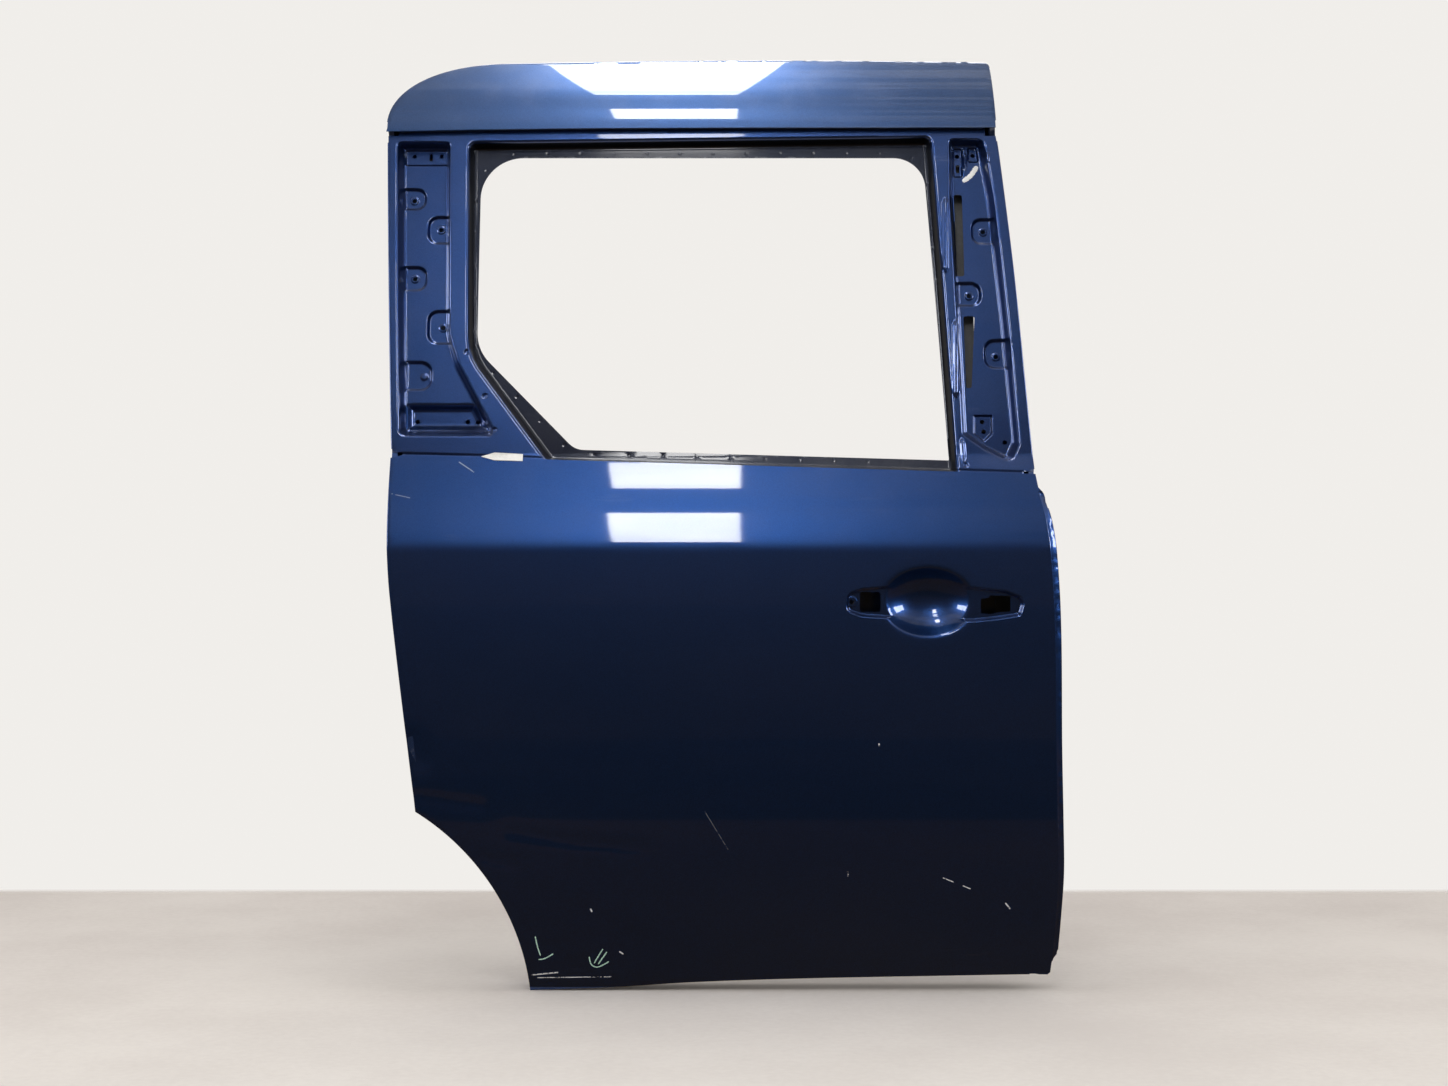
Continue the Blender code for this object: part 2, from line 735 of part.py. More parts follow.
def rear_well():
    """The rear pillar's well: shelves at its ends, and D-shaped pads for the clips along both walls."""
    rim = on_pillar([(-0.4620, 0.9623, 0.006), (-0.4480, 0.0539, 0.012), (-0.3110, 0.0539, 0.008),
                     (-0.3665, 0.2780, 0.05), (-0.3785, 0.3621, 0.05), (-0.3850, 0.9623, 0.006)])
    top_shelf = on_pillar([(-0.4535, 0.9440), (-0.4525, 0.8901), (-0.3905, 0.8901), (-0.3920, 0.9440)])
    foot_shelf = on_pillar([(-0.4420, 0.1552), (-0.4405, 0.0711), (-0.3225, 0.0711), (-0.3450, 0.1552)])
    forms = [pressed(rim, 0.01, WELL_WALL, WELL_DEPTH), pressed(top_shelf, 0.004, 0.003, SHELF_DEPTH),
             pressed(foot_shelf, 0.006, 0.010, FOOT_SHELF_DEPTH)]
    outer_pads = [(-0.4530, 0.7856, 0.034, 0.033), (-0.4490, 0.5373, 0.034, 0.037),
                  (-0.4435, 0.2392, 0.039, 0.043)]
    inner_pads = [(-0.3840, 0.6884, 0.034, 0.042), (-0.3790, 0.3879, 0.036, 0.050)]
    forms += [pad(x, up_pillar(share), width, height, 1) for x, share, width, height in outer_pads]
    forms += [pad(x, up_pillar(share), width, height, -1) for x, share, width, height in inner_pads]
    holes = clip_holes([(-0.4393, 0.9224), (-0.4009, 0.9224), (-0.4374, 0.7808), (-0.4334, 0.5373),
                        (-0.3985, 0.6899), (-0.3925, 0.3864), (-0.4254, 0.1013), (-0.3560, 0.1013),
                        (-0.3420, 0.1002)])
    holes.append(slot(-0.4158, up_pillar(0.9192), 0.0050, 0.0110))
    return forms, holes


def front_well():
    """The front pillar's well, and two narrow ribs on the land between it and the window."""
    rim = on_pillar([(0.3165, 0.9720, 0.006), (0.3150, 0.7823, 0.10), (0.3210, 0.4267, 0.10),
                     (0.3270, 0.0603, 0.006), (0.3580, 0.0119, 0.02), (0.3950, -0.0259, 0.010),
                     (0.4075, 0.0345, 0.020), (0.3965, 0.3756, 0.2), (0.3805, 0.7765, 0.2),
                     (0.3675, 0.9720, 0.012)])
    slot_shelf = on_pillar([(0.3245, 0.9483), (0.3240, 0.8534), (0.3390, 0.8534), (0.3395, 0.9483)])
    clip_shelf = on_pillar([(0.3450, 0.9515), (0.3450, 0.9009), (0.3620, 0.9009), (0.3600, 0.9515)])
    foot_pad = on_pillar([(0.3455, 0.1228), (0.3450, 0.0647), (0.3600, 0.0388), (0.3725, 0.0647),
                          (0.3725, 0.1228)])
    forms = [pressed(rim, 0.01, WELL_WALL, WELL_DEPTH), pressed(slot_shelf, 0.004, 0.003, SHELF_DEPTH),
             pressed(clip_shelf, 0.004, 0.003, SHELF_DEPTH), pressed(foot_pad, 0.003, 0.003, PAD_DEPTH)]
    outer_pads = [(0.3800, 0.6843, 0.033, 0.039), (0.3970, 0.3060, 0.036, 0.043)]
    forms += [pad(x, up_pillar(share), width, height, -1) for x, share, width, height in outer_pads]
    forms.append(pad(0.3270, up_pillar(0.4892), 0.034, 0.036, 1))
    forms.append(rib(0.3083, up_pillar(0.5433), 0.3108, up_pillar(0.7946)))
    forms.append(rib(0.3190, up_pillar(0.1638), 0.3140, up_pillar(0.4179)))
    holes = clip_holes([(0.3310, 0.9224), (0.3532, 0.9246), (0.3649, 0.6836), (0.3790, 0.2978),
                        (0.3432, 0.4849),
                        (0.3580, 0.1013), (0.3600, 0.0711), (0.3886, 0.0388)])
    holes.append(slot(0.3315, up_pillar(0.8825), 0.0050, 0.0120))
    upper_slot = on_pillar([(0.3245, 0.7996), (0.3265, 0.5453), (0.3370, 0.5453), (0.3362, 0.7996)])
    lower_slot = on_pillar([(0.3345, 0.4224), (0.3360, 0.2026), (0.3440, 0.2026), (0.3500, 0.4224)])
    holes += [rounded(upper_slot, 0.003), rounded(lower_slot, 0.003)]
    return forms, holes


def flat_pad(x, z, width, height, depth, radius=0.010, wall=0.006):
    """A flat, upright mounting pad on the inner panel."""
    return pressed(box(x, z, width + 2 * wall, height + 2 * wall), radius, wall, onto(flat(depth)))


def bolt_places(x, z, width, height):
    """Three bolts: two above, one below."""
    return [(x - width / 2, z + height / 2), (x + width / 2, z + height / 2), (x, z - height / 2)]


def handle_seat():
    """The long flat recess on both sides of the cup."""
    x, z = HANDLE_X, HANDLE_Z
    corners = [(x - 0.112, z - 0.013, 0.010), (x - 0.090, z - 0.0205, 0.02), (x - 0.030, z - 0.0245, 0.02),
               (x + 0.060, z - 0.0275, 0.02), (x + 0.095, z - 0.0240, 0.02), (x + 0.126, z - 0.0190, 0.008),
               (x + 0.1310, z - 0.0020, 0.006), (x + 0.126, z + 0.0080, 0.006), (x + 0.105, z + 0.0160, 0.02),
               (x + 0.060, z + 0.0210, 0.02), (x - 0.030, z + 0.0240, 0.02), (x - 0.090, z + 0.0190, 0.02),
               (x - 0.110, z + 0.0120, 0.010)]
    return pressed(corners, 0.01, LOBE_WALL, onto(flat(LOBE_DEPTH + SEAT_LEVEL)))


def handle_holes():
    z = HANDLE_Z
    return [rounded(box(REAR_HANDLE_HOLE_X, z, REAR_HANDLE_HOLE_LENGTH, HANDLE_HOLE_HEIGHT), 0.003),
            rounded([(FRONT_HANDLE_HOLE_X - FRONT_HANDLE_HOLE_LENGTH / 2, z - 0.0155),
                     (FRONT_HANDLE_HOLE_X + FRONT_HANDLE_HOLE_LENGTH / 2, z - 0.0130),
                     (FRONT_HANDLE_HOLE_X + FRONT_HANDLE_HOLE_LENGTH / 2, z + 0.0080),
                     (FRONT_HANDLE_HOLE_X - 0.008, z + 0.0090),
                     (FRONT_HANDLE_HOLE_X - 0.008, z + 0.0050),
                     (FRONT_HANDLE_HOLE_X - FRONT_HANDLE_HOLE_LENGTH / 2, z + 0.0050)], 0.002),
            circle(HANDLE_SCREW_X, z, HANDLE_SCREW_RADIUS)]


def cup_shift(x, z, y):
    """A dish: deepest in the middle and level with the skin at its rim; the seat's floor runs into it."""
    across = np.hypot((x - HANDLE_X) / (CUP_LENGTH / 2), (z - HANDLE_Z) / (CUP_HEIGHT / 2))
    bowl = pillar_face(x, z) + CUP_DEPTH * (1 - np.clip(across, 0, 1) ** CUP_POWER)
    return np.maximum(bowl - y, 0)


def cup_ring(share, count=24):
    ring = oval(HANDLE_X, HANDLE_Z, CUP_LENGTH * share, CUP_HEIGHT * share, count)
    return ring + ring[:1]


def cup_rings():
    """Rings that carry the dish's curve; the first is where the seat's floor meets the dish."""
    meeting = (1 - LOBE_DEPTH / CUP_DEPTH) ** (1 / CUP_POWER)
    return [cup_ring(meeting), cup_ring(0.70), cup_ring(0.48, 16), cup_ring(0.24, 12)]


def margin(shift_x=0.0):
    """The front margin of the skin steps back, so that the front door's edge can lie over it."""
    bend = through(on_skin([(0.4466, 0.0546), (0.4470, 0.0690), (0.4500, 0.1366), (0.4525, 0.2186),
                            (0.4510, 0.3142), (0.4487, 0.4645), (0.4478, 0.6626), (0.4445, 0.7760),
                            (0.4385, 0.8689), (0.4288, 0.9317)]))
    bend = [(x + shift_x, z) for x, z in bend]
    beyond = FRONT_TOP_X + 0.2
    rim = bend + [(beyond, bend[-1][1]), (beyond, bend[0][1])]
    floor = [(x + MARGIN_RAMP, z) for x, z in bend]
    floor += [(beyond + MARGIN_RAMP, bend[-1][1]), (beyond + MARGIN_RAMP, bend[0][1])]
    return Pressing(rim[::-1], floor[::-1], MARGIN_STEP)


# The pieces

def outer_skin(material):
    rim = oval(HANDLE_X, HANDLE_Z, CUP_LENGTH, CUP_HEIGHT)
    blank = Blank(skin_outline(), pillar_face, holes=handle_holes(),
                  pressings=[margin(), handle_seat(), Pressing(rim, rim, cup_shift)], lines=cup_rings())
    bm = blank.mesh()
    height = 2 * SKIN_SHEET + INNER_SHEET + 2 * HEM_GAP
    foot_end, belt_end = up_skin(0.0751), up_skin(0.9044)

    def hemmed(x, z):
        return z < belt_height(x) - 0.003 and (x < 0.42 or foot_end < z < belt_end)

    fold_hem(bm, blank, hemmed, height)
    return make_object("outer_skin", bm, material, SKIN_SHEET)


def header_panel(material):
    foot = HEADER_HEIGHT + 0.0005
    side = HEM_EDGE_GAP + INNER_FLANGE + INNER_WALL
    lower = [(x, foot - 0.006 * ((x - FRONT_TOP_X) / (REAR_TOP_X - FRONT_TOP_X)) ** 4)
             for x in np.linspace(REAR_TOP_X, FRONT_TOP_X, 40)]
    blank = Blank(lower + roof_run()[:-1], header_face)
    bm = blank.mesh()
    height = 2 * SKIN_SHEET + INNER_SHEET + 2 * HEM_GAP
    fold_hem(bm, blank, lambda x, z: z > HEADER_HEIGHT + 0.009, height)
    foot_edges = [e for e in bm.edges if e.is_boundary
                  and all(v.co.z < foot + 0.0008 for v in e.verts)
                  and all(REAR_TOP_X + side < v.co.x < FRONT_TOP_X - side for v in e.verts)]
    turned = bmesh.ops.extrude_edge_only(bm, edges=foot_edges)
    for vert in [v for v in turned["geom"] if isinstance(v, bmesh.types.BMVert)]:
        vert.co.y += HEADER_STANDOFF - SEAT_GAP - SKIN_SHEET
        vert.co.z += 0.0005
    bm.normal_update()
    return make_object("header_panel", bm, material, SKIN_SHEET)


def window_frame(material):
    side = INNER_FLANGE + INNER_WALL + 0.003
    top = HEADER_HEIGHT + 0.030
    tuck = 0.0035
    belt_rear = belt_height(BELT_REAR_X) + tuck
    belt_front = belt_height(BELT_FRONT_X) + tuck
    foot = 0.030

    def band(indent, above):
        """All of the blank below a line just above the belt, away from its two edges."""
        left, right = BELT_REAR_X + indent, BELT_FRONT_X - indent
        return [(left, belt_height(left) + above), (left, belt_rear - 3 * foot),
                (right, belt_front - 3 * foot),
                (right, belt_height(right) + above)]

    front = [p for p in front_pillar_run() if p[1] > belt_front and p[1] < HEADER_HEIGHT - 0.011]
    rear = [p for p in rear_pillar_run() if p[1] > belt_rear and p[1] < HEADER_HEIGHT - 0.011]
    rear_top = (REAR_TOP_X + 0.0003, HEADER_HEIGHT - 0.010)
    front_top = (FRONT_TOP_X + 0.0009, HEADER_HEIGHT - 0.010)
    outline = ([(BELT_REAR_X + side, belt_rear - tuck - foot),
                (BELT_FRONT_X - side, belt_front - tuck - foot),
                (BELT_FRONT_X - side, belt_front), (BELT_FRONT_X - 0.0006, belt_front)] + front
               + [front_top, (FRONT_TOP_X - side, HEADER_HEIGHT - 0.010), (FRONT_TOP_X - side, top),
                  (REAR_TOP_X + side + 0.012, top), (REAR_TOP_X + side, HEADER_HEIGHT - 0.010), rear_top]
               + rear + [(BELT_REAR_X + 0.0002, belt_rear), (BELT_REAR_X + side, belt_rear)])
    joggle = Pressing(band(side - MARGIN_RAMP, 0.0050), band(side, 0.0015), SKIN_SHEET + 2 * SEAT_GAP)
    rear_forms, rear_holes = rear_well()
    front_forms, front_holes = front_well()
    blank = Blank(outline, pillar_face, holes=[window_edge()] + rear_holes + front_holes,
                  pressings=[joggle, rebate()] + rear_forms + front_forms)
    bm = blank.mesh()
    height = 2 * FRAME_SHEET + INNER_SHEET + 2 * HEM_GAP

    def pillar_edge(x, z):
        belt = belt_front if x > 0 else belt_rear
        at_edge = x < BELT_REAR_X + 0.001 or x > FRONT_TOP_X - 0.001
        return at_edge and belt + 0.001 < z < front_top[1] - 0.006

    fold_hem(bm, blank, pillar_edge, height)
    return make_object("window_frame", bm, material, FRAME_SHEET)


def inner_panel(material):
    inset = SKIN_SHEET + HEM_EDGE_GAP
    edge = shifted(door_outline(), inset)
    flange_face = behind(door_face, SKIN_SHEET + HEM_GAP)
    pan = Pressing(shifted(door_outline(), inset + INNER_FLANGE),
                   shifted(door_outline(), inset + INNER_FLANGE + INNER_WALL), onto(pan_face))

    def glass_flange(x, z):
        return pillar_face(x, z) + GLASS_DEPTH + (FRAME_SHEET + SEAT_GAP) * LEAN_ALLOWANCE

    window_rim = window_edge(-WINDOW_FLANGE - WINDOW_WALL)
    window = Pressing(window_rim, window_edge(-WINDOW_FLANGE), onto(glass_flange))
    carriage = flat_pad(CARRIAGE_X, CARRIAGE_Z, 0.070, 0.090, INNER_DEPTH)
    upper_arm = flat_pad(UPPER_ARM_X, UPPER_ARM_Z, 0.060, 0.034, upper_arm_depth())
    holes = [window_edge()] + access_holes()
    for x, z, width, height in bolt_groups().values():
        holes += [circle(px, pz, BOLT_HOLE_RADIUS) for px, pz in bolt_places(x, z, width, height)]
    blank = Blank(edge, flange_face, holes=holes,
                  pressings=[margin(-0.010), pan, window, carriage, upper_arm] + inner_beads())
    return make_sheet("inner_panel", blank, material, INNER_SHEET)


def bolt_groups():
    """Each bolted interface: centre and the spread of its three bolts."""
    return {
        "centre_carriage": (CARRIAGE_X, CARRIAGE_Z, 0.044, 0.060),
        "upper_arm": (UPPER_ARM_X, UPPER_ARM_Z, 0.040, 0.018),
        "lower_arm": (LOWER_ARM_X, LOWER_ARM_Z, 0.044, 0.044),
        "front_lock": (FRONT_LOCK_X, FRONT_LOCK_Z, 0.024, 0.060),
        "rear_lock": (REAR_LOCK_X, REAR_LOCK_Z, 0.026, 0.060),
    }


def access_holes():
    """Openings through which the glass side, locks and beam are reached."""
    return [
        rounded(on_skin([(-0.285, 0.2596), (-0.040, 0.1776), (-0.030, 0.8197), (-0.300, 0.8197)]), 0.035),
        rounded(on_skin([(0.030, 0.1639), (0.280, 0.1639), (0.300, 0.5464), (0.030, 0.5464)]), 0.035),
        rounded(on_skin([(0.015, 0.6216), (0.160, 0.6216), (0.160, 0.8197), (0.015, 0.8197)]), 0.030),
        front_pillar_slot(),
        rear_pillar_slot(),
        slot(0.362, 0.215, 0.050, 0.026),
    ]


def inner_beads():
    """Stiffening beads pressed into the inner panel."""
    low, high = BELT_HEIGHT - 0.082, BELT_HEIGHT - 0.058
    fall = 0.010
    belt_bead = [(-0.300, low), (0.330, low - fall), (0.330, high - fall), (-0.300, high)]
    foot_bead = [(-0.190, 0.060), (0.280, 0.065), (0.280, 0.085), (-0.190, 0.080)]
    return [pressed(belt_bead, 0.010, 0.006, -BEAD_HEIGHT), pressed(foot_bead, 0.009, 0.006, -BEAD_HEIGHT)]


def plate_behind_inner(name, x, z, width, height, depth, bolts, material, centre_hole=0.0):
    """A flat reinforcement plate on the cavity side of the inner panel."""
    holes = [circle(px, pz, BOLT_HOLE_RADIUS) for px, pz in bolts]
    if centre_hole:
        holes.append(slot(x, z, centre_hole, centre_hole))
    blank = Blank(rounded(box(x, z, width, height), 0.010), flat(depth - SEAT_GAP - PLATE_SHEET), holes=holes,
                  sections=False)
    return make_sheet(name, blank, material, PLATE_SHEET)


def reinforcements(material, nut_material):
    sizes = {"centre_carriage": (0.066, 0.086), "upper_arm": (0.056, 0.030), "lower_arm": (0.066, 0.070),
             "front_lock": (0.042, 0.090), "rear_lock": (0.046, 0.090)}
    for name, (x, z, width, height) in bolt_groups().items():
        depth = upper_arm_depth() if name == "upper_arm" else INNER_DEPTH
        bolts = bolt_places(x, z, width, height)
        plate_behind_inner(name + "_reinforcement", x, z, *sizes[name], depth, bolts, material)
        for k, (px, pz) in enumerate(bolts, 1):
            nut(f"{name}_nut_{k}", px, pz, depth - SEAT_GAP - PLATE_SHEET, nut_material)


def side_impact_beam(material):
    """A steel tube along the door, with its ends resting on two brackets."""
    start, end = BEAM_REAR_X, BEAM_FRONT_X
    bm = bmesh.new()
    outer, inner = [], []
    sides = 16
    for ring, radius in ((outer, BEAM_RADIUS), (inner, BEAM_RADIUS - BEAM_WALL)):
        for x in (start, end):
            spokes = circle(BEAM_DEPTH, BEAM_HEIGHT, radius, sides)
            ring.append([bm.verts.new((x, y, z)) for y, z in spokes])
    for k in range(sides):
        m = (k + 1) % sides
        bm.faces.new((outer[0][k], outer[0][m], outer[1][m], outer[1][k]))
        bm.faces.new((inner[0][m], inner[0][k], inner[1][k], inner[1][m]))
        bm.faces.new((outer[0][m], outer[0][k], inner[0][k], inner[0][m]))
        bm.faces.new((outer[1][k], outer[1][m], inner[1][m], inner[1][k]))
    bmesh.ops.recalc_face_normals(bm, faces=bm.faces)
    make_object("side_impact_beam", bm, material)
    seat = BEAM_DEPTH + BEAM_RADIUS + SEAT_GAP
    back = INNER_DEPTH - SEAT_GAP - RAIL_SHEET
    for name, x, toward in (("beam_bracket_rear", start - 0.040, 1), ("beam_bracket_front", end + 0.026, -1)):
        foot, bend, reach = (x + toward * length for length in (0.028, 0.042, 0.100))
        profile = [(x, back), (foot, back), (bend, seat), (reach, seat)]
        low = BEAM_HEIGHT - BRACKET_HEIGHT / 2
        folded_bracket(name, profile, low, low + BRACKET_HEIGHT, material)


def folded_bracket(name, profile, low, high, material):
    """A strip folded along Z: its profile is a list of (x, y) points."""
    bm = bmesh.new()
    lower = [bm.verts.new((x, y, low)) for x, y in profile]
    upper = [bm.verts.new((x, y, high)) for x, y in profile]
    for k in range(len(profile) - 1):
        bm.faces.new((lower[k], lower[k + 1], upper[k + 1], upper[k]))
    bm.normal_update()
    for face in bm.faces:
        if face.normal.y > 0:
            face.normal_flip()
    return make_object(name, bm, material, RAIL_SHEET)


def front_pillar_slot():
    """Access slot in the front pillar, through the inner panel and its reinforcement."""
    return slot(FRONT_SLOT_X, up_pillar(0.4267), PILLAR_SLOT_WIDTH, PILLAR_SLOT_HEIGHT)


def rear_pillar_slot():
    return slot(REAR_SLOT_X, up_pillar(0.4914), PILLAR_SLOT_WIDTH, PILLAR_SLOT_HEIGHT)


def pillar_reinforcement(name, corners, access, material):
    """A plate with one long bead on the cavity side of the inner panel's pillar."""
    offset = SEAT_GAP + RAIL_SHEET
    low, high = corners[0], corners[3]
    middle_low = (corners[0][0] + corners[1][0]) / 2
    middle_high = (corners[3][0] + corners[2][0]) / 2
    bead = [(middle_low - 0.012, low[1] + 0.020), (middle_low + 0.012, low[1] + 0.020),
            (middle_low + 0.012 + 0.2 * (middle_high - middle_low), low[1] + 0.070),
            (middle_low - 0.012 + 0.2 * (middle_high - middle_low), low[1] + 0.070)]
    forms = [pressed(bead, 0.008, 0.004, -PILLAR_RAIL_BEAD)]
    blank = Blank(rounded(corners, 0.006), behind(pan_face, -offset), holes=[access], pressings=forms)
    return make_sheet(name, blank, material, RAIL_SHEET)


def belt_reinforcements(material):
    """Two rails along the belt: one hangs on the frame's lower flange, the other lies on the inner panel."""
    side = HEM_EDGE_GAP + INNER_FLANGE + INNER_WALL + BELT_RAIL_EDGE
    left, right = BELT_REAR_X + side, BELT_FRONT_X - side
    top = BELT_RAIL_TOP
    foot = BELT_RAIL_TOP + BELT_RAIL_DEPTH

    def band(indent, high, low):
        return [(left + indent, belt_height(left) - low), (right - indent, belt_height(right) - low),
                (right - indent, belt_height(right) - high), (left + indent, belt_height(left) - high)]

    back_of_frame = SKIN_SHEET + 2 * SEAT_GAP + (FRAME_SHEET + SEAT_GAP) * LEAN_ALLOWANCE
    channel = pressed(band(0.02, top + 0.020, foot - 0.018), 0.012, 0.012, BELT_RAIL_CROWN)
    outer = Blank(rounded(band(0.0, top, foot), 0.006), lambda x, z: pillar_face(x, z) + back_of_frame,
                  pressings=[channel])
    make_sheet("belt_reinforcement_outer", outer, material, RAIL_SHEET)

    def inner_band(indent, edge):
        """The inner rail drops a little towards the front, as the belt does."""
        rear_top = BELT_HEIGHT - INNER_RAIL_DROP - edge
        rear_foot = BELT_HEIGHT - INNER_RAIL_DROP - INNER_RAIL_HEIGHT + edge
        fall = 0.010
        return [(INNER_RAIL_REAR_X + indent, rear_foot), (INNER_RAIL_FRONT_X - indent, rear_foot - fall),
                (INNER_RAIL_FRONT_X - indent, rear_top - fall), (INNER_RAIL_REAR_X + indent, rear_top)]

    crown = pressed(inner_band(0.010, 0.012), 0.010, 0.012, -BELT_RAIL_CROWN)
    inner_face = flat(INNER_DEPTH - SEAT_GAP - RAIL_SHEET)
    inner = Blank(rounded(inner_band(0.0, 0.0), 0.006), inner_face, pressings=[crown], sections=False)
    make_sheet("belt_reinforcement_inner", inner, material, RAIL_SHEET)


def skin_stiffener(material, mastic, felt):
    """A shallow rail across the back of the skin, held off it by mastic pads, and a sheet of deadener."""
    back = SKIN_SHEET + SEAT_GAP
    rail_face = back + MASTIC_THICKNESS + SEAT_GAP
    start, end = -0.4275, 0.4440
    z = STIFFENER_HEIGHT
    half = STIFFENER_WIDTH / 2
    outline = rounded([(start, z - half), (end, z - half), (end, z + half), (start + 0.003, z + half)], 0.004)
    crown = pressed(box((start + end) / 2, z, end - start - 0.03, STIFFENER_WIDTH - 0.026), 0.008, 0.008,
                    STIFFENER_CROWN)
    rail = Blank(outline, lambda x, z: pillar_face(x, z) + rail_face, pressings=[crown])
    make_sheet("skin_stiffener", rail, material, RAIL_SHEET)
    for k in range(5):
        x = -0.340 + 0.170 * k
        pad_blank = Blank(rounded(box(x, z - half + MASTIC_WIDTH / 2, MASTIC_LENGTH, MASTIC_WIDTH), 0.004),
                          lambda x, z: pillar_face(x, z) + back)
        make_sheet(f"mastic_pad_{k + 1}", pad_blank, mastic, MASTIC_THICKNESS)
    patch = box(DEADENER_X, z - DEADENER_DROP, DEADENER_LENGTH, DEADENER_HEIGHT)
    sheet = Blank(rounded(patch, 0.012), lambda x, z: pillar_face(x, z) + back)
    make_sheet("sound_deadener", sheet, felt, DEADENER_THICKNESS)


def handle_reinforcement(material):
    """A flat plate behind the handle seat, cut out round the dish."""
    back = LOBE_DEPTH + SEAT_LEVEL + SKIN_SHEET + SEAT_GAP
    outline = rounded([(0.150, HANDLE_Z - 0.028), (0.205, HANDLE_Z - 0.056), (0.350, HANDLE_Z - 0.056),
                       (0.422, HANDLE_Z - 0.030), (0.422, HANDLE_Z + 0.026), (0.350, HANDLE_Z + 0.056),
                       (0.205, HANDLE_Z + 0.056), (0.150, HANDLE_Z + 0.028)], 0.010)
    holes = [oval(HANDLE_X, HANDLE_Z, CUP_LENGTH, CUP_HEIGHT)]
    holes.append(rounded(box(REAR_HANDLE_HOLE_X, HANDLE_Z, REAR_HANDLE_HOLE_LENGTH + 0.003,
                             HANDLE_HOLE_HEIGHT + 0.004), 0.003))
    holes.append(rounded(box(FRONT_HANDLE_HOLE_X + 0.002, HANDLE_Z - 0.002, FRONT_HANDLE_HOLE_LENGTH + 0.004,
                             HANDLE_HOLE_HEIGHT + 0.003), 0.003))
    holes.append(circle(HANDLE_SCREW_X, HANDLE_Z, HANDLE_SCREW_RADIUS))
    blank = Blank(outline, flat(back), holes=holes, sections=False)
    return make_sheet("handle_reinforcement", blank, material, PLATE_SHEET)


def header_reinforcement(material):
    """A hat rail on the cavity side of the inner panel, along the roof."""
    low, high = up_header(0.2527), up_header(0.7762)

    def band(indent, edge):
        return [(HEADER_RAIL_REAR_X + indent, low + edge), (HEADER_RAIL_FRONT_X - indent, low + edge),
                (HEADER_RAIL_FRONT_X - indent, high - edge), (HEADER_RAIL_REAR_X + indent, high - edge)]

    crown = pressed(band(0.010, 0.009), 0.008, 0.008, -HEADER_RAIL_CROWN)
    blank = Blank(rounded(band(0.0, 0.0), 0.006), behind(pan_face, -SEAT_GAP - RAIL_SHEET), pressings=[crown])
    return make_sheet("header_reinforcement", blank, material, RAIL_SHEET)


def belt_sealer(material):
    """A brushed strip of seam sealer, thinner towards the rear, over the rear end of the belt seam."""
    low, high = -0.0030, 0.0075
    outline = [(SEALER_START_X, belt_height(SEALER_START_X) + 0.0015),
               (SEALER_START_X + 0.018, belt_height(SEALER_START_X + 0.018) + low),
               (SEALER_END_X, belt_height(SEALER_END_X) + low),
               (SEALER_END_X, belt_height(SEALER_END_X) + high - 0.001),
               (SEALER_START_X + 0.018, belt_height(SEALER_START_X + 0.018) + high)]
    blank = Blank(outline, lambda x, z: pillar_face(x, z) - SEALER_THICKNESS - SEAT_GAP)
    return make_sheet("belt_sealer_strip", blank, material, SEALER_THICKNESS)


def build():
    clear_scene()
    datum = bpy.data.objects.new("door_datum", None)
    bpy.context.scene.collection.objects.link(datum)
    datum.location = -DATUM
    outer_skin(metal("navy_paint_skin", (0.006, 0.012, 0.045)))
    header_panel(metal("navy_paint_header", (0.012, 0.022, 0.060)))
    window_frame(metal("navy_paint_frame", (0.010, 0.020, 0.065)))
    inner_panel(metal("navy_paint_inner", (0.012, 0.020, 0.050), 0.4))
    primed = metal("primed_steel", (0.16, 0.17, 0.18), 0.5)
    reinforcements(primed, metal("zinc_plated_nut", (0.45, 0.44, 0.40), 0.4, 1))
    side_impact_beam(metal("primed_beam", (0.08, 0.085, 0.10), 0.45))
    belt_reinforcements(primed)
    mastic = metal("mastic", (0.03, 0.03, 0.03), 0.8, 0)
    skin_stiffener(primed, mastic, metal("deadener", (0.02, 0.02, 0.02), 0.9, 0))
    handle_reinforcement(primed)
    header_reinforcement(primed)
    front = on_pillar([(0.342, 0.0711), (0.402, 0.0711), (0.368, 0.9224), (0.314, 0.9224)])
    rear = on_pillar([(-0.438, 0.1034), (-0.378, 0.1034), (-0.380, 0.9224), (-0.452, 0.9224)])
    pillar_reinforcement("front_pillar_reinforcement", front, front_pillar_slot(), primed)
    pillar_reinforcement("rear_pillar_reinforcement", rear, rear_pillar_slot(), primed)
    belt_sealer(metal("seam_sealer", (0.72, 0.72, 0.70), 0.6, 0))


build()
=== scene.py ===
# %% [markdown]
# # A bare sliding door in painted sheet metal
# The object is the shell of a sliding side door: four big stampings, one inside the other, with a
# few plates and rails between them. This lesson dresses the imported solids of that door. The big
# stampings get finer sheets with rounded bends, because a bend's soft edge is what catches the
# light on real sheet metal. The small plates keep their solids and get a finish of their own.

# %% Load the fixed model
import json
import math

import bmesh
import bpy
import numpy as np
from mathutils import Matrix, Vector
from mathutils.geometry import delaunay_2d_cdt
from mathutils.kdtree import KDTree


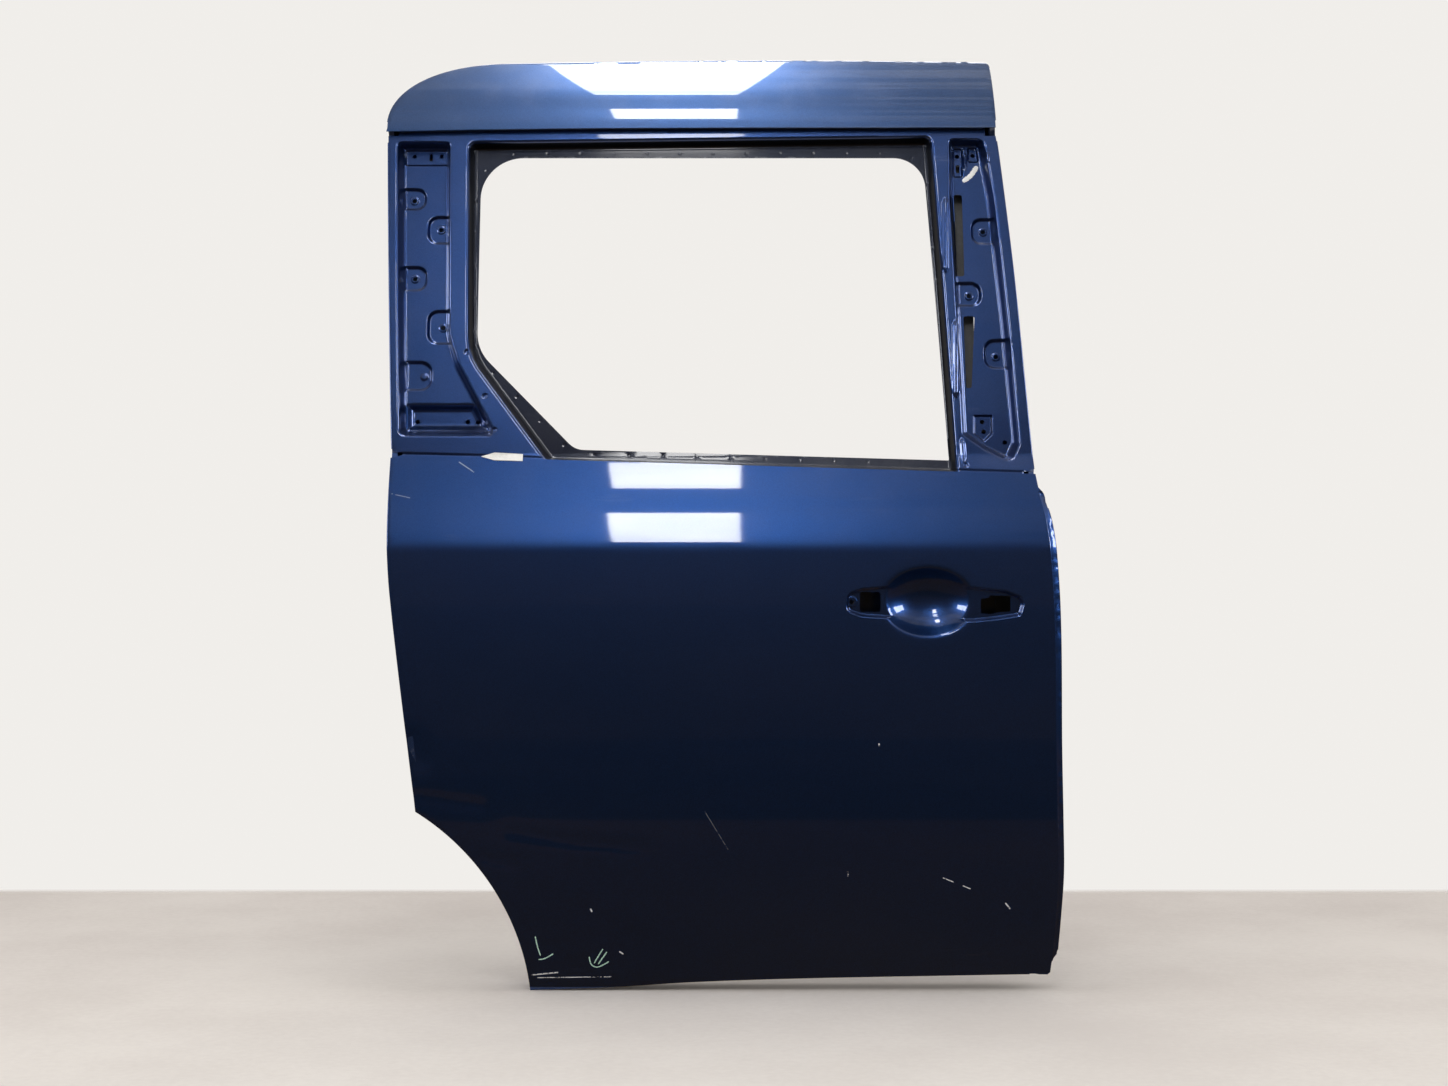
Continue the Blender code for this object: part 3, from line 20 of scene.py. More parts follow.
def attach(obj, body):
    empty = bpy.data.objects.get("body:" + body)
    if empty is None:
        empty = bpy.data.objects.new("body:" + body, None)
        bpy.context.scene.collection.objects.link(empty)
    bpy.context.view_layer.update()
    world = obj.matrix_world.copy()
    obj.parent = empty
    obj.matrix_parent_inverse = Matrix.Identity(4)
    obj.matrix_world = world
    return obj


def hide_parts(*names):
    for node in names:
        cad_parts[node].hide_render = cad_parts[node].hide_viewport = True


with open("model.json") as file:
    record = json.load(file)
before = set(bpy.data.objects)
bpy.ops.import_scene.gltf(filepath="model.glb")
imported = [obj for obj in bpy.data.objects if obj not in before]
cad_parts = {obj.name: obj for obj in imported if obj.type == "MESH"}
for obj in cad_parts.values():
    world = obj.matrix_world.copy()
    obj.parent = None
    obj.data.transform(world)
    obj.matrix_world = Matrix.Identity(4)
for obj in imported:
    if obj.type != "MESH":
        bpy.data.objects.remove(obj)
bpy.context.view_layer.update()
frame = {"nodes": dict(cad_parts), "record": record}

# %% [markdown]
# ## Where things are
# A press shop measures a door from its lowest edge (Z), from the widest point of its skin (Y) and
# from its middle (X). The sheets are drawn in those door coordinates, and one vector moves them to
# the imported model, whose origin is where the centre roller arm bolts on. The photograph was taken
# square to the door from 3 m, so a picture point becomes a door point with one scale.

# %% Door coordinates and picture points
DATUM = np.array([-0.385, 0.0888, 0.610])
CAMERA_DISTANCE = 3.0
CAMERA_HEIGHT = 0.611
METRES_PER_POINT = 0.00135
PICTURE_CENTRE = (724, 543)


def door_point(column, row, depth=0.0):
    """The door coordinates X, Z of a picture point that lies at a known depth."""
    scale = METRES_PER_POINT * (CAMERA_DISTANCE + depth) / CAMERA_DISTANCE
    return (column - PICTURE_CENTRE[0]) * scale, CAMERA_HEIGHT + (PICTURE_CENTRE[1] - row) * scale


print("belt seam at", [round(v, 3) for v in door_point(724, 462, 0.04)])

# %% [markdown]
# ## The side section
# Seen from the front of the vehicle, the door's outside is one line: tucked in at the sill, widest
# below the middle, a soft shoulder, then the pillars leaning in to the roof. Every sheet is laid
# over a die, and each die is this line plus its own pressed forms. Writing the line as a formula
# keeps sheets that lie on each other parallel, which points set by hand would not.

# %% Die surfaces
SILL_TUCK, SILL_POWER, WIDEST_HEIGHT = 0.034, 2.5, 0.380
SHOULDER_INSET, SHOULDER_HEIGHT, SHOULDER_POWER = 0.008, 0.604, 1.2
BELT_INSET, BELT_HEIGHT = 0.050, 0.732
PILLAR_LEAN, PILLAR_CURVE = 0.146, 0.108
HEADER_HEIGHT, HEADER_STANDOFF, HEADER_LEAN, HEADER_CURVE, HEADER_STEP = 1.196, 0.011, 0.26, 3.5, 0.010
SKIN_SHEET, FRAME_SHEET, INNER_SHEET = 0.0008, 0.0009, 0.0008
SEAT_GAP, HEM_GAP, HEM_EDGE_GAP = 0.0003, 0.00035, 0.0012
INNER_DEPTH, PILLAR_BOX_DEPTH, UPPER_ARM_DEPTH = 0.088, 0.044, 0.190


def side_face(x, z):
    z = np.asarray(z, float)
    tuck = SILL_TUCK * np.clip((WIDEST_HEIGHT - z) / WIDEST_HEIGHT, 0, None) ** SILL_POWER
    barrel = np.clip((z - WIDEST_HEIGHT) / (SHOULDER_HEIGHT - WIDEST_HEIGHT), 0, 1) ** 2
    shoulder = np.clip((z - SHOULDER_HEIGHT) / (BELT_HEIGHT - SHOULDER_HEIGHT), 0, 1) ** SHOULDER_POWER
    above = np.clip(z - BELT_HEIGHT, 0, None)
    pillar = PILLAR_LEAN * above + PILLAR_CURVE * above ** 2
    return tuck + SHOULDER_INSET * barrel + (BELT_INSET - SHOULDER_INSET) * shoulder + pillar


def header_face(x, z):
    rise = np.asarray(z, float) - HEADER_HEIGHT
    foot = side_face(0, HEADER_HEIGHT) - HEADER_STANDOFF
    return foot + HEADER_LEAN * rise + HEADER_CURVE * np.clip(rise, 0, None) ** 2


def door_face(x, z):
    """Pillars and skin below the header, the header above, with a short ramp between them."""
    share = np.clip((np.asarray(z, float) - (HEADER_HEIGHT - HEADER_STEP)) / HEADER_STEP, 0, 1)
    return side_face(x, z) * (1 - share) + header_face(x, z) * share


def pan_face(x, z):
    """The inner panel: upright below the belt, parallel to the pillars above it."""
    return np.maximum(INNER_DEPTH, side_face(x, z) + PILLAR_BOX_DEPTH)


def slope_of(face, x, z, reach=0.002):
    """How far a surface goes inward for each metre it goes up."""
    return (face(x, z + reach) - face(x, z - reach)) / (2 * reach)


def behind(face, gap):
    """A surface that lies this far behind another, measured square to it."""
    return lambda x, z: face(x, z) + gap * np.sqrt(1 + slope_of(face, x, z) ** 2)


print("depth at the belt and the roof:", [round(float(door_face(0, z)), 3) for z in (BELT_HEIGHT, 1.3)])

# %% [markdown]
# ## Outlines
# A blank is a flat sheet with a trimmed outline. Straight runs with rounded corners, arcs and
# smooth curves through a few points are all that the door's outline needs.

# %% Outline tools
def mitred(corners, inset, bluntest=0.0):
    """The corners of a closed outline moved inward by inset, square to both sides of each."""
    points = [Vector(c[:2]) for c in corners]
    moved = []
    for i, point in enumerate(points):
        into = (point - points[i - 1]).normalized()
        out = (points[(i + 1) % len(points)] - point).normalized()
        first, second = Vector((-into.y, into.x)), Vector((-out.y, out.x))
        moved.append(point + (first + second) * (inset / max(1 + first.dot(second), bluntest)))
    return moved


def shifted(outline, inset):
    """A closed outline moved inward by inset, point by point."""
    return [tuple(point) for point in mitred(outline, inset, 0.5)]


def rounded(corners, radius, inset=0.0, step=math.radians(12)):
    """A closed outline through corners (x, z[, radius]), moved in by inset, each corner an arc."""
    radii = [c[2] if len(c) > 2 else radius for c in corners]
    moved = mitred(corners, inset)
    outline = []
    for i, point in enumerate(moved):
        back, ahead = moved[i - 1] - point, moved[(i + 1) % len(moved)] - point
        turn = math.pi - back.angle(ahead)
        convex = back.x * ahead.y - back.y * ahead.x < 0
        size = max(radii[i] - inset, 0.0015) if convex else radii[i] + inset
        if radii[i] == 0 or turn < math.radians(2):
            outline.append(tuple(point))
            continue
        reach = min(size * math.tan(turn / 2), 0.45 * back.length, 0.45 * ahead.length)
        size = reach / math.tan(turn / 2)
        back, ahead = back.normalized(), ahead.normalized()
        start = point + back * reach
        centre = point + (back + ahead).normalized() * (size / math.cos(turn / 2))
        steps = max(2, math.ceil(turn / step))
        for k in range(steps + 1):
            angle = turn * k / steps * (1 if convex else -1)
            spoke = start - centre
            outline.append((centre.x + spoke.x * math.cos(angle) - spoke.y * math.sin(angle),
                            centre.y + spoke.x * math.sin(angle) + spoke.y * math.cos(angle)))
    return outline


def oval(x, z, length, height, count=72):
    return [(x + length / 2 * math.cos(math.tau * k / count), z + height / 2 * math.sin(math.tau * k / count))
            for k in range(count)]


def circle(x, z, radius, count=20):
    return oval(x, z, 2 * radius, 2 * radius, count)


def box(x, z, width, height):
    return [(x - width / 2, z - height / 2), (x + width / 2, z - height / 2),
            (x + width / 2, z + height / 2), (x - width / 2, z + height / 2)]


def slot(x, z, width, height):
    return rounded(box(x, z, width, height), min(width, height) / 2)


def through(points, per_span=8):
    """A smooth curve through the given points."""
    path = [Vector(p) for p in points]
    path = [2 * path[0] - path[1]] + path + [2 * path[-1] - path[-2]]
    curve = []
    for i in range(1, len(path) - 2):
        p0, p1, p2, p3 = path[i - 1:i + 3]
        for k in range(per_span):
            t = k / per_span
            curve.append(tuple(0.5 * (2 * p1 + (p2 - p0) * t + (2 * p0 - 5 * p1 + 4 * p2 - p3) * t ** 2
                                      + (3 * p1 - p0 - 3 * p2 + p3) * t ** 3)))
    return curve + [tuple(path[-2])]


print("points round a slot of 20 by 10 mm:", len(slot(0, 0, 0.020, 0.010)))

# %% [markdown]
# ### The door's own outline
# The outline is put together from runs that go round it against the clock, starting at the sill:
# front edge, pillar, roof with its long rear corner, rear edge and the cut for the wheel.

# %% The door's own outline
BELT_REAR_X, BELT_FRONT_X, BELT_DROP = -0.457, 0.426, 0.0265
REAR_TOP_X, FRONT_TOP_X = -0.4755, 0.3840
ROOF_HEIGHT, ROOF_CROWN, ROOF_CROWN_X = 1.3068, 0.040, 0.070
REAR_CORNER_LENGTH, REAR_CORNER_POWER = 0.1755, 2.15
ROOF_FRONT_X, CORNER_RADIUS = 0.3812, 0.008
ARCH_X, ARCH_Z, ARCH_RADIUS, ARCH_TOP_Z = -0.592, -0.031, 0.3287, 0.2475
SILL_FRONT_Z = 0.023


def belt_height(x):
    share = (np.asarray(x, float) - BELT_REAR_X) / (BELT_FRONT_X - BELT_REAR_X)
    return BELT_HEIGHT - BELT_DROP * share


def arch_run():
    start = math.asin((ARCH_TOP_Z - ARCH_Z) / ARCH_RADIUS)
    end = math.asin(-ARCH_Z / ARCH_RADIUS)
    angles = np.linspace(start, end, 40)
    return [(ARCH_X + ARCH_RADIUS * math.cos(a), ARCH_Z + ARCH_RADIUS * math.sin(a)) for a in angles]


def sill_run():
    rise = SILL_FRONT_Z
    return through([arch_run()[-1], (-0.150, 0.19 * rise), (-0.040, 0.50 * rise), (0.120, 0.74 * rise),
                    (0.430, rise)])[1:]


def front_run():
    return ([(0.4556, 0.0560)]
            + through([(0.4587, 0.103), (0.4616, 0.165), (0.4600, 0.240), (0.4578, 0.340), (0.4570, 0.485),
                       (0.4540, 0.568), (0.4478, 0.636), (0.4370, 0.678)])
            + [(0.4290, 0.6870), (BELT_FRONT_X, float(belt_height(BELT_FRONT_X)))])


def front_pillar_run():
    return through([(BELT_FRONT_X, float(belt_height(BELT_FRONT_X))), (0.4185, 0.800), (0.4050, 0.980),
                    (0.3900, 1.140), (FRONT_TOP_X, HEADER_HEIGHT - 0.002)])


def roof_run():
    front = ROOF_FRONT_X
    top = lambda x: ROOF_HEIGHT - ROOF_CROWN * (x - ROOF_CROWN_X) ** 2
    corner = [(front - across * CORNER_RADIUS, top(front) - down * CORNER_RADIUS)
              for across, down in ((0, 1), (0.1, 0.5), (0.5, 0.1), (1, 0))]
    joint = REAR_TOP_X + REAR_CORNER_LENGTH
    foot = HEADER_HEIGHT + 0.001
    rise = top(joint) - foot
    steps = 48
    rear = []
    for k in range(1, steps + 1):
        angle = math.pi / 2 * k / steps
        rear.append((joint - REAR_CORNER_LENGTH * math.sin(angle) ** (2 / REAR_CORNER_POWER),
                     foot + rise * math.cos(angle) ** (2 / REAR_CORNER_POWER) if k < steps else foot))
    return corner + [(x, top(x)) for x in np.linspace(front - 0.03, joint, 24)] + rear


def rear_pillar_run():
    return through([(REAR_TOP_X, HEADER_HEIGHT - 0.004), (-0.4660, 0.949), (BELT_REAR_X, BELT_HEIGHT)])


def rear_run():
    foot = arch_run()[0]
    return through([(BELT_REAR_X - 0.0008, BELT_HEIGHT - 0.004), (-0.4580, 0.665), (-0.4560, 0.585),
                    (-0.4480, 0.500), (foot[0] - 0.0020, foot[1] + 0.018)]) + [foot]


def skin_outline():
    belt = [(x, float(belt_height(x))) for x in np.linspace(BELT_FRONT_X, BELT_REAR_X, 60)[1:-1]]
    rise = SILL_FRONT_Z
    notch = [(0.4410, rise), (0.4446, rise + 0.003), (0.4462, rise + 0.018), (0.4548, 0.0505)]
    return arch_run()[-1:] + sill_run() + notch + front_run() + belt + rear_run() + arch_run()[1:-1]


def door_outline():
    return (arch_run()[-1:] + sill_run() + front_run()[:-1] + front_pillar_run() + roof_run()
            + rear_pillar_run()[:-1] + rear_run() + arch_run()[1:-1])


print("outline points:", len(skin_outline()), len(door_outline()))

# %% [markdown]
# ## Pressing a blank
# A pressed form has a rim, a floor and a wall between them, and both ends of the wall are rounded
# by the punch. Here a form is a distance field: how far a point lies inside the rim decides how
# much of the form's depth it gets, and a smooth step rounds both ends of the wall. Sculpting the
# same shapes would be quicker to start and much harder to keep even.

# %% Forms and fields
def inside(outline, x, z):
    found = np.zeros(len(x), bool)
    x1, z1 = np.array(outline).T
    x2, z2 = np.roll(x1, -1), np.roll(z1, -1)
    for ax, az, bx, bz in zip(x1, z1, x2, z2):
        if az != bz:
            found ^= ((az > z) != (bz > z)) & (x < (bx - ax) * (z - az) / (bz - az) + ax)
    return found


def distance(outline, x, z, closed=True):
    nearest = np.full(len(x), np.inf)
    for i in range(len(outline) if closed else len(outline) - 1):
        (ax, az), (bx, bz) = outline[i], outline[(i + 1) % len(outline)]
        dx, dz = bx - ax, bz - az
        share = np.clip(((x - ax) * dx + (z - az) * dz) / max(dx * dx + dz * dz, 1e-12), 0, 1)
        nearest = np.minimum(nearest, np.hypot(x - ax - share * dx, z - az - share * dz))
    return nearest


def smooth_step(share):
    share = np.clip(share, 0, 1)
    return share * share * (3 - 2 * share)


class Form:
    """A pressed form: a rim, a wall of even width inside it, and a shift of the sheet's depth."""

    def __init__(self, corners, radius, wall, shift, rings=4):
        self.rim = rounded(corners, radius) if radius is not None else corners
        self.wall = wall
        self.shift = shift
        levels = [-0.2 * wall] + [wall * k / rings for k in range(rings + 1)] + [1.2 * wall]
        if radius is None:
            self.rings = [shifted(corners, level) for level in levels]
        else:
            self.rings = [rounded(corners, radius, level) for level in levels]

    def change(self, x, z, y):
        xs, zs = zip(*self.rim)
        near = (x > min(xs)) & (x < max(xs)) & (z > min(zs)) & (z < max(zs))
        change = np.zeros(len(x))
        if near.any():
            nx, nz = x[near], z[near]
            depth_in = np.where(inside(self.rim, nx, nz), distance(self.rim, nx, nz), 0)
            amount = self.shift(nx, nz, y[near]) if callable(self.shift) else self.shift
            change[near] = smooth_step(depth_in / self.wall) * amount
        return change


class Crease:
    """A soft groove or ridge along a line, as a knock leaves it."""
    rings = []

    def __init__(self, line, width, shift):
        self.line, self.width, self.shift = line, width, shift

    def change(self, x, z, y):
        away = distance(self.line, x, z, closed=False)
        return self.shift * np.exp(-(away / self.width) ** 2)


def onto(surface):
    """A shift that brings the sheet onto a given surface."""
    return lambda x, z, y: surface(x, z) - y


def flat(depth):
    return lambda x, z: np.full_like(np.asarray(z, float), depth)


def even_points(outline, longest, closed=True):
    points = []
    for i in range(len(outline) if closed else len(outline) - 1):
        start, end = outline[i], outline[(i + 1) % len(outline)]
        steps = max(1, math.ceil(math.dist(start, end) / longest))
        points += [(start[0] + (end[0] - start[0]) * k / steps, start[1] + (end[1] - start[1]) * k / steps)
                   for k in range(steps)]
    return points if closed else points + [tuple(outline[-1])]


print("share of a form's depth a quarter of the way down its wall:", float(smooth_step(0.25)))

# %% [markdown]
# ## From blank to mesh
# The flat blank is filled with triangles first: its outline, its holes and a few rings down each
# wall are fixed lines, and an even grid of points fills the rest. Only then does each point get its
# depth. The rings put a row of edges along each bend, so a highlight runs straight along it. One
# ring more lies just outside each bend and one just inside, so the flats beside it stay flat.

# %% The blank
def fill_blank(outline, holes, forms, spacing, fine):
    """Points and triangles of a flat blank. fine lists areas (left, low, right, high, spacing)."""
    loops = [even_points(loop, spacing) for loop in [outline, *holes]]
    loops += [even_points(ring, 0.5 * spacing) for form in forms for ring in form.rings]
    corners, edges = [], []
    for loop in loops:
        first = len(corners)
        corners += loop
        edges += [(first + k, first + (k + 1) % len(loop)) for k in range(len(loop))]
    tree = KDTree(len(corners))
    for k, corner in enumerate(corners):
        tree.insert((*corner, 0), k)
    tree.balance()
    xs, zs = zip(*outline)
    areas = [(min(xs), min(zs), max(xs), max(zs), spacing)] + list(fine)
    for order, (left, low, right, high, step) in enumerate(areas):
        grid_z = np.arange(low + step / 2, high, step * 0.866)
        for row, z in enumerate(grid_z):
            for x in np.arange(left + step / 2 * (row % 2), right, step):
                covered = any(a[0] < x < a[2] and a[1] < z < a[3] for a in areas[order + 1:])
                if not covered and tree.find((x, z, 0))[2] > 0.45 * step:
                    corners.append((x, z))
    found = delaunay_2d_cdt([Vector(c) for c in corners], edges, [], 0, 2e-5)
    points = np.array([tuple(v) for v in found[0]])
    triangles = np.array([f for f in found[2] if len(f) == 3])
    middle = points[triangles].mean(axis=1)
    keep = inside(outline, middle[:, 0], middle[:, 1])
    for hole in holes:
        keep &= ~inside(hole, middle[:, 0], middle[:, 1])
    used, index = np.unique(triangles[keep], return_inverse=True)
    return points[used], index.reshape(-1, 3)


def depth_of(face, forms, x, z):
    x, z = np.atleast_1d(np.asarray(x, float)), np.atleast_1d(np.asarray(z, float))
    y = np.array(face(x, z), float) + np.zeros(len(x))
    for form in forms:
        y = y + form.change(x, z, y)
    return y


def square_in(face, x, z):
    """Direction square to a surface, into the vehicle."""
    return Vector((0, 1, -float(slope_of(face, x, z)))).normalized()


trial = fill_blank(box(0, 0, 0.1, 0.1), [], [], 0.01, ())
print("triangles in a blank of 100 by 100 mm:", len(trial[1]))

# %% [markdown]
# ## Hems and thickness
# The edges of the skin, the header and the frame are folded back on themselves, which makes them
# round and stiff. The roll adds its radius to the sheet, so the edge and the points beside it first
# move in by as much. Then the sheet gets its thickness.

# %% The press
HEM_TURNS, HEM_EASE, HEM_REACH = 5, 7, 0.012


def roll_hem(bm, outline, face, forms, belongs, height, lip):
    """Rolls the trimmed edge of a sheet back on itself where belongs(x, z) holds."""
    ends = {}
    for edge in [e for e in bm.edges if e.is_boundary]:
        spots = np.array([v.co.xz for v in edge.verts])
        if (distance(outline, spots[:, 0], spots[:, 1]) < 1e-4).all() and all(belongs(*s) for s in spots):
            loop = next(l for l in edge.link_faces[0].loops if l.edge == edge)
            start, end = loop.vert, loop.link_loop_next.vert
            run = (end.co.xz - start.co.xz).normalized()
            inward = Vector((-run.y, run.x))
            ends.setdefault(start, {})["out"] = (end, inward)
            ends.setdefault(end, {})["in"] = (start, inward)
    radius = height / 2
    steps, tree = [], KDTree(len(ends))
    for number, (vert, sides) in enumerate(ends.items()):
        normals = [side[1] for side in sides.values()]
        step = sum(normals, Vector((0, 0)))
        if len(normals) == 2:
            step = step / (1 + normals[0].dot(normals[1]))
        steps.append(step * min(1, 1.5 / step.length))
        tree.insert((vert.co.x, vert.co.z, 0), number)
    tree.balance()
    strip = HEM_EASE * radius
    places = np.array([v.co.xz for v in bm.verts])
    for vert, away in zip(list(bm.verts), distance(outline, places[:, 0], places[:, 1])):
        number, far = tree.find((vert.co.x, vert.co.z, 0))[1:]
        if vert in ends or (away < strip and far < HEM_REACH):
            move = steps[number] * radius * max(0, 1 - away / strip)
            x, z = vert.co.x + move.x, vert.co.z + move.y
            vert.co = (x, float(depth_of(face, forms, x, z)[0]), z)
    rows = {}
    for vert, step in zip(ends, steps):
        x, z = vert.co.x, vert.co.z
        back = square_in(face, x, z)
        outward = Vector((-step.x, 0, -step.y))
        outward = outward - back * outward.dot(back)
        row = [vert]
        for k in range(1, HEM_TURNS + 1):
            angle = math.pi * k / HEM_TURNS
            row.append(bm.verts.new(vert.co + outward * radius * math.sin(angle)
                                    + back * radius * (1 - math.cos(angle))))
        x, z = x + step.x * (lip - radius), z + step.y * (lip - radius)
        lip_y = float(depth_of(face, forms, x, z)[0])
        row.append(bm.verts.new(Vector((x, lip_y, z)) + square_in(face, x, z) * height))
        rows[vert] = row
    for vert, sides in ends.items():
        if "out" in sides:
            near, far = rows[vert], rows[sides["out"][0]]
            for k in range(len(near) - 1):
                bm.faces.new((far[k], near[k], near[k + 1], far[k + 1]))


def stand_up(name, bm, material, smooth=True):
    """Turns a worked mesh into an object of the scene and frees it."""
    mesh = bpy.data.meshes.new(name)
    bm.to_mesh(mesh)
    bm.free()
    if smooth:
        mesh.shade_smooth()
    mesh.materials.append(material)
    made = bpy.data.objects.new(name, mesh)
    bpy.context.scene.collection.objects.link(made)
    return made


def press(name, outline, face, material, sheet, forms=(), holes=(), spacing=0.006, fine=(), hem=None):
    """Presses a blank and gives it the thickness of its sheet. hem is (belongs, height, lip)."""
    points, triangles = fill_blank(outline, holes, forms, spacing, fine)
    y = depth_of(face, forms, points[:, 0], points[:, 1])
    bm = bmesh.new()
    verts = [bm.verts.new((p[0], depth, p[1])) for p, depth in zip(points, y)]
    for a, b, c in triangles:
        flip = np.cross(points[b] - points[a], points[c] - points[a]) < 0
        bm.faces.new([verts[i] for i in ((a, c, b) if flip else (a, b, c))])
    bm.normal_update()
    if hem:
        roll_hem(bm, outline, face, forms, *hem)
    bmesh.ops.translate(bm, vec=-DATUM, verts=bm.verts)
    piece = stand_up(name, bm, material)
    solid = piece.modifiers.new("sheet thickness", "SOLIDIFY")
    solid.thickness, solid.offset = sheet, -1
    split = piece.modifiers.new("trimmed edges", "EDGE_SPLIT")
    split.split_angle = math.radians(50)
    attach(piece, "root")
    print(name, len(piece.data.polygons), "faces in the blank")
    return piece


# %% [markdown]
# ## Effects that several finishes share
# Orange peel, metal flake, dust and rubbed edges turn up on every painted sheet of this door. Each
# is a small group of nodes with named values, so that one change reaches every finish, and each
# finish still sets its own amount. The helpers find the node tree from a socket that is handed in.

# %% Helpers for nodes and groups
def wire(socket, value):
    """Links a socket to the value if that is a socket too, and otherwise sets it."""
    if isinstance(value, bpy.types.NodeSocket):
        socket.id_data.links.new(value, socket)
    else:
        socket.default_value = value


def node(tree, kind, **settings):
    """Adds a node; settings name its properties, or its inputs when they start with in_."""
    made = tree.nodes.new(kind)
    for key, value in settings.items():
        if key.startswith("in_"):
            label = key[3:].replace("_", " ")
            wire(made.inputs[int(label) if label.isdigit() else label], value)
        else:
            setattr(made, key, value)
    return made


def maths(operation, first, second=0.0, clamp=False):
    tree = (first if isinstance(first, bpy.types.NodeSocket) else second).id_data
    made = node(tree, "ShaderNodeMath", operation=operation, use_clamp=clamp, in_0=first, in_1=second)
    return made.outputs[0]


def times(first, second, clamp=False):
    return maths("MULTIPLY", first, second, clamp)


def plus(first, second, clamp=False):
    return maths("ADD", first, second, clamp)


def minus(first, second, clamp=False):
    return maths("SUBTRACT", first, second, clamp)


def arrows(operation, first, second):
    """The same for vectors."""
    made = node(first.id_data, "ShaderNodeVectorMath", operation=operation, in_0=first, in_1=second)
    return made.outputs["Value" if operation in ("DOT_PRODUCT", "DISTANCE") else "Vector"]


def ramp(factor, low, high, out_low=0.0, out_high=1.0):
    """Maps a range of one value to another, smoothly and clamped."""
    return node(factor.id_data, "ShaderNodeMapRange", interpolation_type="SMOOTHSTEP", in_Value=factor,
                in_From_Min=low, in_From_Max=high, in_To_Min=out_low, in_To_Max=out_high).outputs[0]


def noise(vector, scale, detail=2.0, roughness=0.5, stretch=None):
    tree = vector.id_data
    if stretch:
        vector = node(tree, "ShaderNodeMapping", in_Vector=vector, in_Scale=stretch).outputs[0]
    return node(tree, "ShaderNodeTexNoise", in_Vector=vector, in_Scale=scale, in_Detail=detail,
                in_Roughness=roughness).outputs["Fac"]


def mix_colour(factor, first, second):
    """A mix node has sockets for each kind of data; 0, 6, 7 and output 2 are those of a colour."""
    made = node(factor.id_data, "ShaderNodeMix", data_type="RGBA", in_0=factor, in_6=first, in_7=second)
    return made.outputs[2]


def new_group(name, output, **inputs):
    """A shader group with a Position, named values and one result. None makes a value a vector."""
    group = bpy.data.node_groups.new(name, "ShaderNodeTree")
    for label, value in {"Position": None, **inputs}.items():
        kind = "NodeSocketVector" if value is None else "NodeSocketFloat"
        socket = group.interface.new_socket(label.replace("_", " "), in_out="INPUT", socket_type=kind)
        if value is not None:
            socket.default_value = value
    group.interface.new_socket(output, in_out="OUTPUT", socket_type="NodeSocketFloat")
    return group, group.nodes.new("NodeGroupInput").outputs, group.nodes.new("NodeGroupOutput").inputs[0]


def add_group(group, position, **values):
    return node(position.id_data, "ShaderNodeGroup", node_tree=group, in_Position=position,
                **{"in_" + key: value for key, value in values.items()}).outputs[0]


print("node groups so far:", len(bpy.data.node_groups))

# %% [markdown]
# ### Metal flake and orange peel
# Metallic paint holds tiny flakes that lie at slightly different angles, so each is a little
# lighter or darker. The clear coat above them dries with a faint ripple. Cells of random value give
# the flakes; two sizes of noise give the ripple as a height for a bump.

# %% Flake and peel groups
flake_group, given, result = new_group("metal_flake", "Value", Flakes_per_Metre=1500.0, Contrast=0.3)
cells = node(flake_group, "ShaderNodeTexVoronoi", feature="F1", in_Vector=given["Position"],
             in_Scale=given["Flakes per Metre"])
light = node(flake_group, "ShaderNodeSeparateColor", in_Color=cells.outputs["Color"]).outputs[0]
wire(result, plus(times(minus(light, 0.5), given["Contrast"]), 1.0))

peel_group, given, result = new_group("orange_peel", "Height", Ripple=0.7, Waviness=0.3)
ripple, wave = [noise(given["Position"], scale, 1.0) for scale in (320.0, 14.0)]
wire(result, plus(times(ripple, given["Ripple"]), times(wave, given["Waviness"])))
print("groups:", [g.name for g in bpy.data.node_groups])

# %% [markdown]
# ### Dust, rubbing and rubbed edges
# Dust settles on what faces up and clings in streaks; handling leaves pale, dull rubs; and paint is
# thin and worn along sharp edges. Each group puts out a mask from 0 to 1, and the finish decides
# what it does there.

# %% Dust, rub and edge wear groups
dust_group, given, result = new_group("dust", "Mask", Amount=0.5)
normal = node(dust_group, "ShaderNodeNewGeometry").outputs["Normal"]
upward = ramp(node(dust_group, "ShaderNodeSeparateXYZ", in_Vector=normal).outputs["Z"], 0.10, 0.85)
clouds = ramp(noise(given["Position"], 16.0, 5.0, 0.6), 0.35, 0.75)
specks = ramp(noise(given["Position"], 900.0, 2.0, 0.7), 0.62, 0.80)
film = times(plus(times(upward, 0.8), 0.10), clouds)
wire(result, times(plus(film, times(specks, 0.35)), given["Amount"], clamp=True))

rub_group, given, result = new_group("rubs", "Mask", Amount=0.5)
streaks = ramp(noise(given["Position"], 1.0, 4.0, 0.65, stretch=(9.0, 40.0, 70.0)), 0.60, 0.74)
patches = ramp(noise(given["Position"], 5.0, 3.0), 0.50, 0.72)
wire(result, times(times(streaks, patches), given["Amount"], clamp=True))

edge_group, given, result = new_group("edge_wear", "Mask", Sharpness=0.56, Amount=0.5)
point = node(edge_group, "ShaderNodeNewGeometry").outputs["Pointiness"]
broken = plus(point, times(minus(noise(given["Position"], 130.0, 4.0, 0.7), 0.5), 0.12))
worn = ramp(broken, given["Sharpness"], plus(given["Sharpness"], 0.06))
wire(result, times(worn, given["Amount"], clamp=True))
print("groups:", [g.name for g in bpy.data.node_groups])

# %% [markdown]
# ### A single scratch
# A scratch is a line from one point to another. The group measures how far each point of the
# surface lies from that line, in the plane of the door, and breaks the line up with noise.

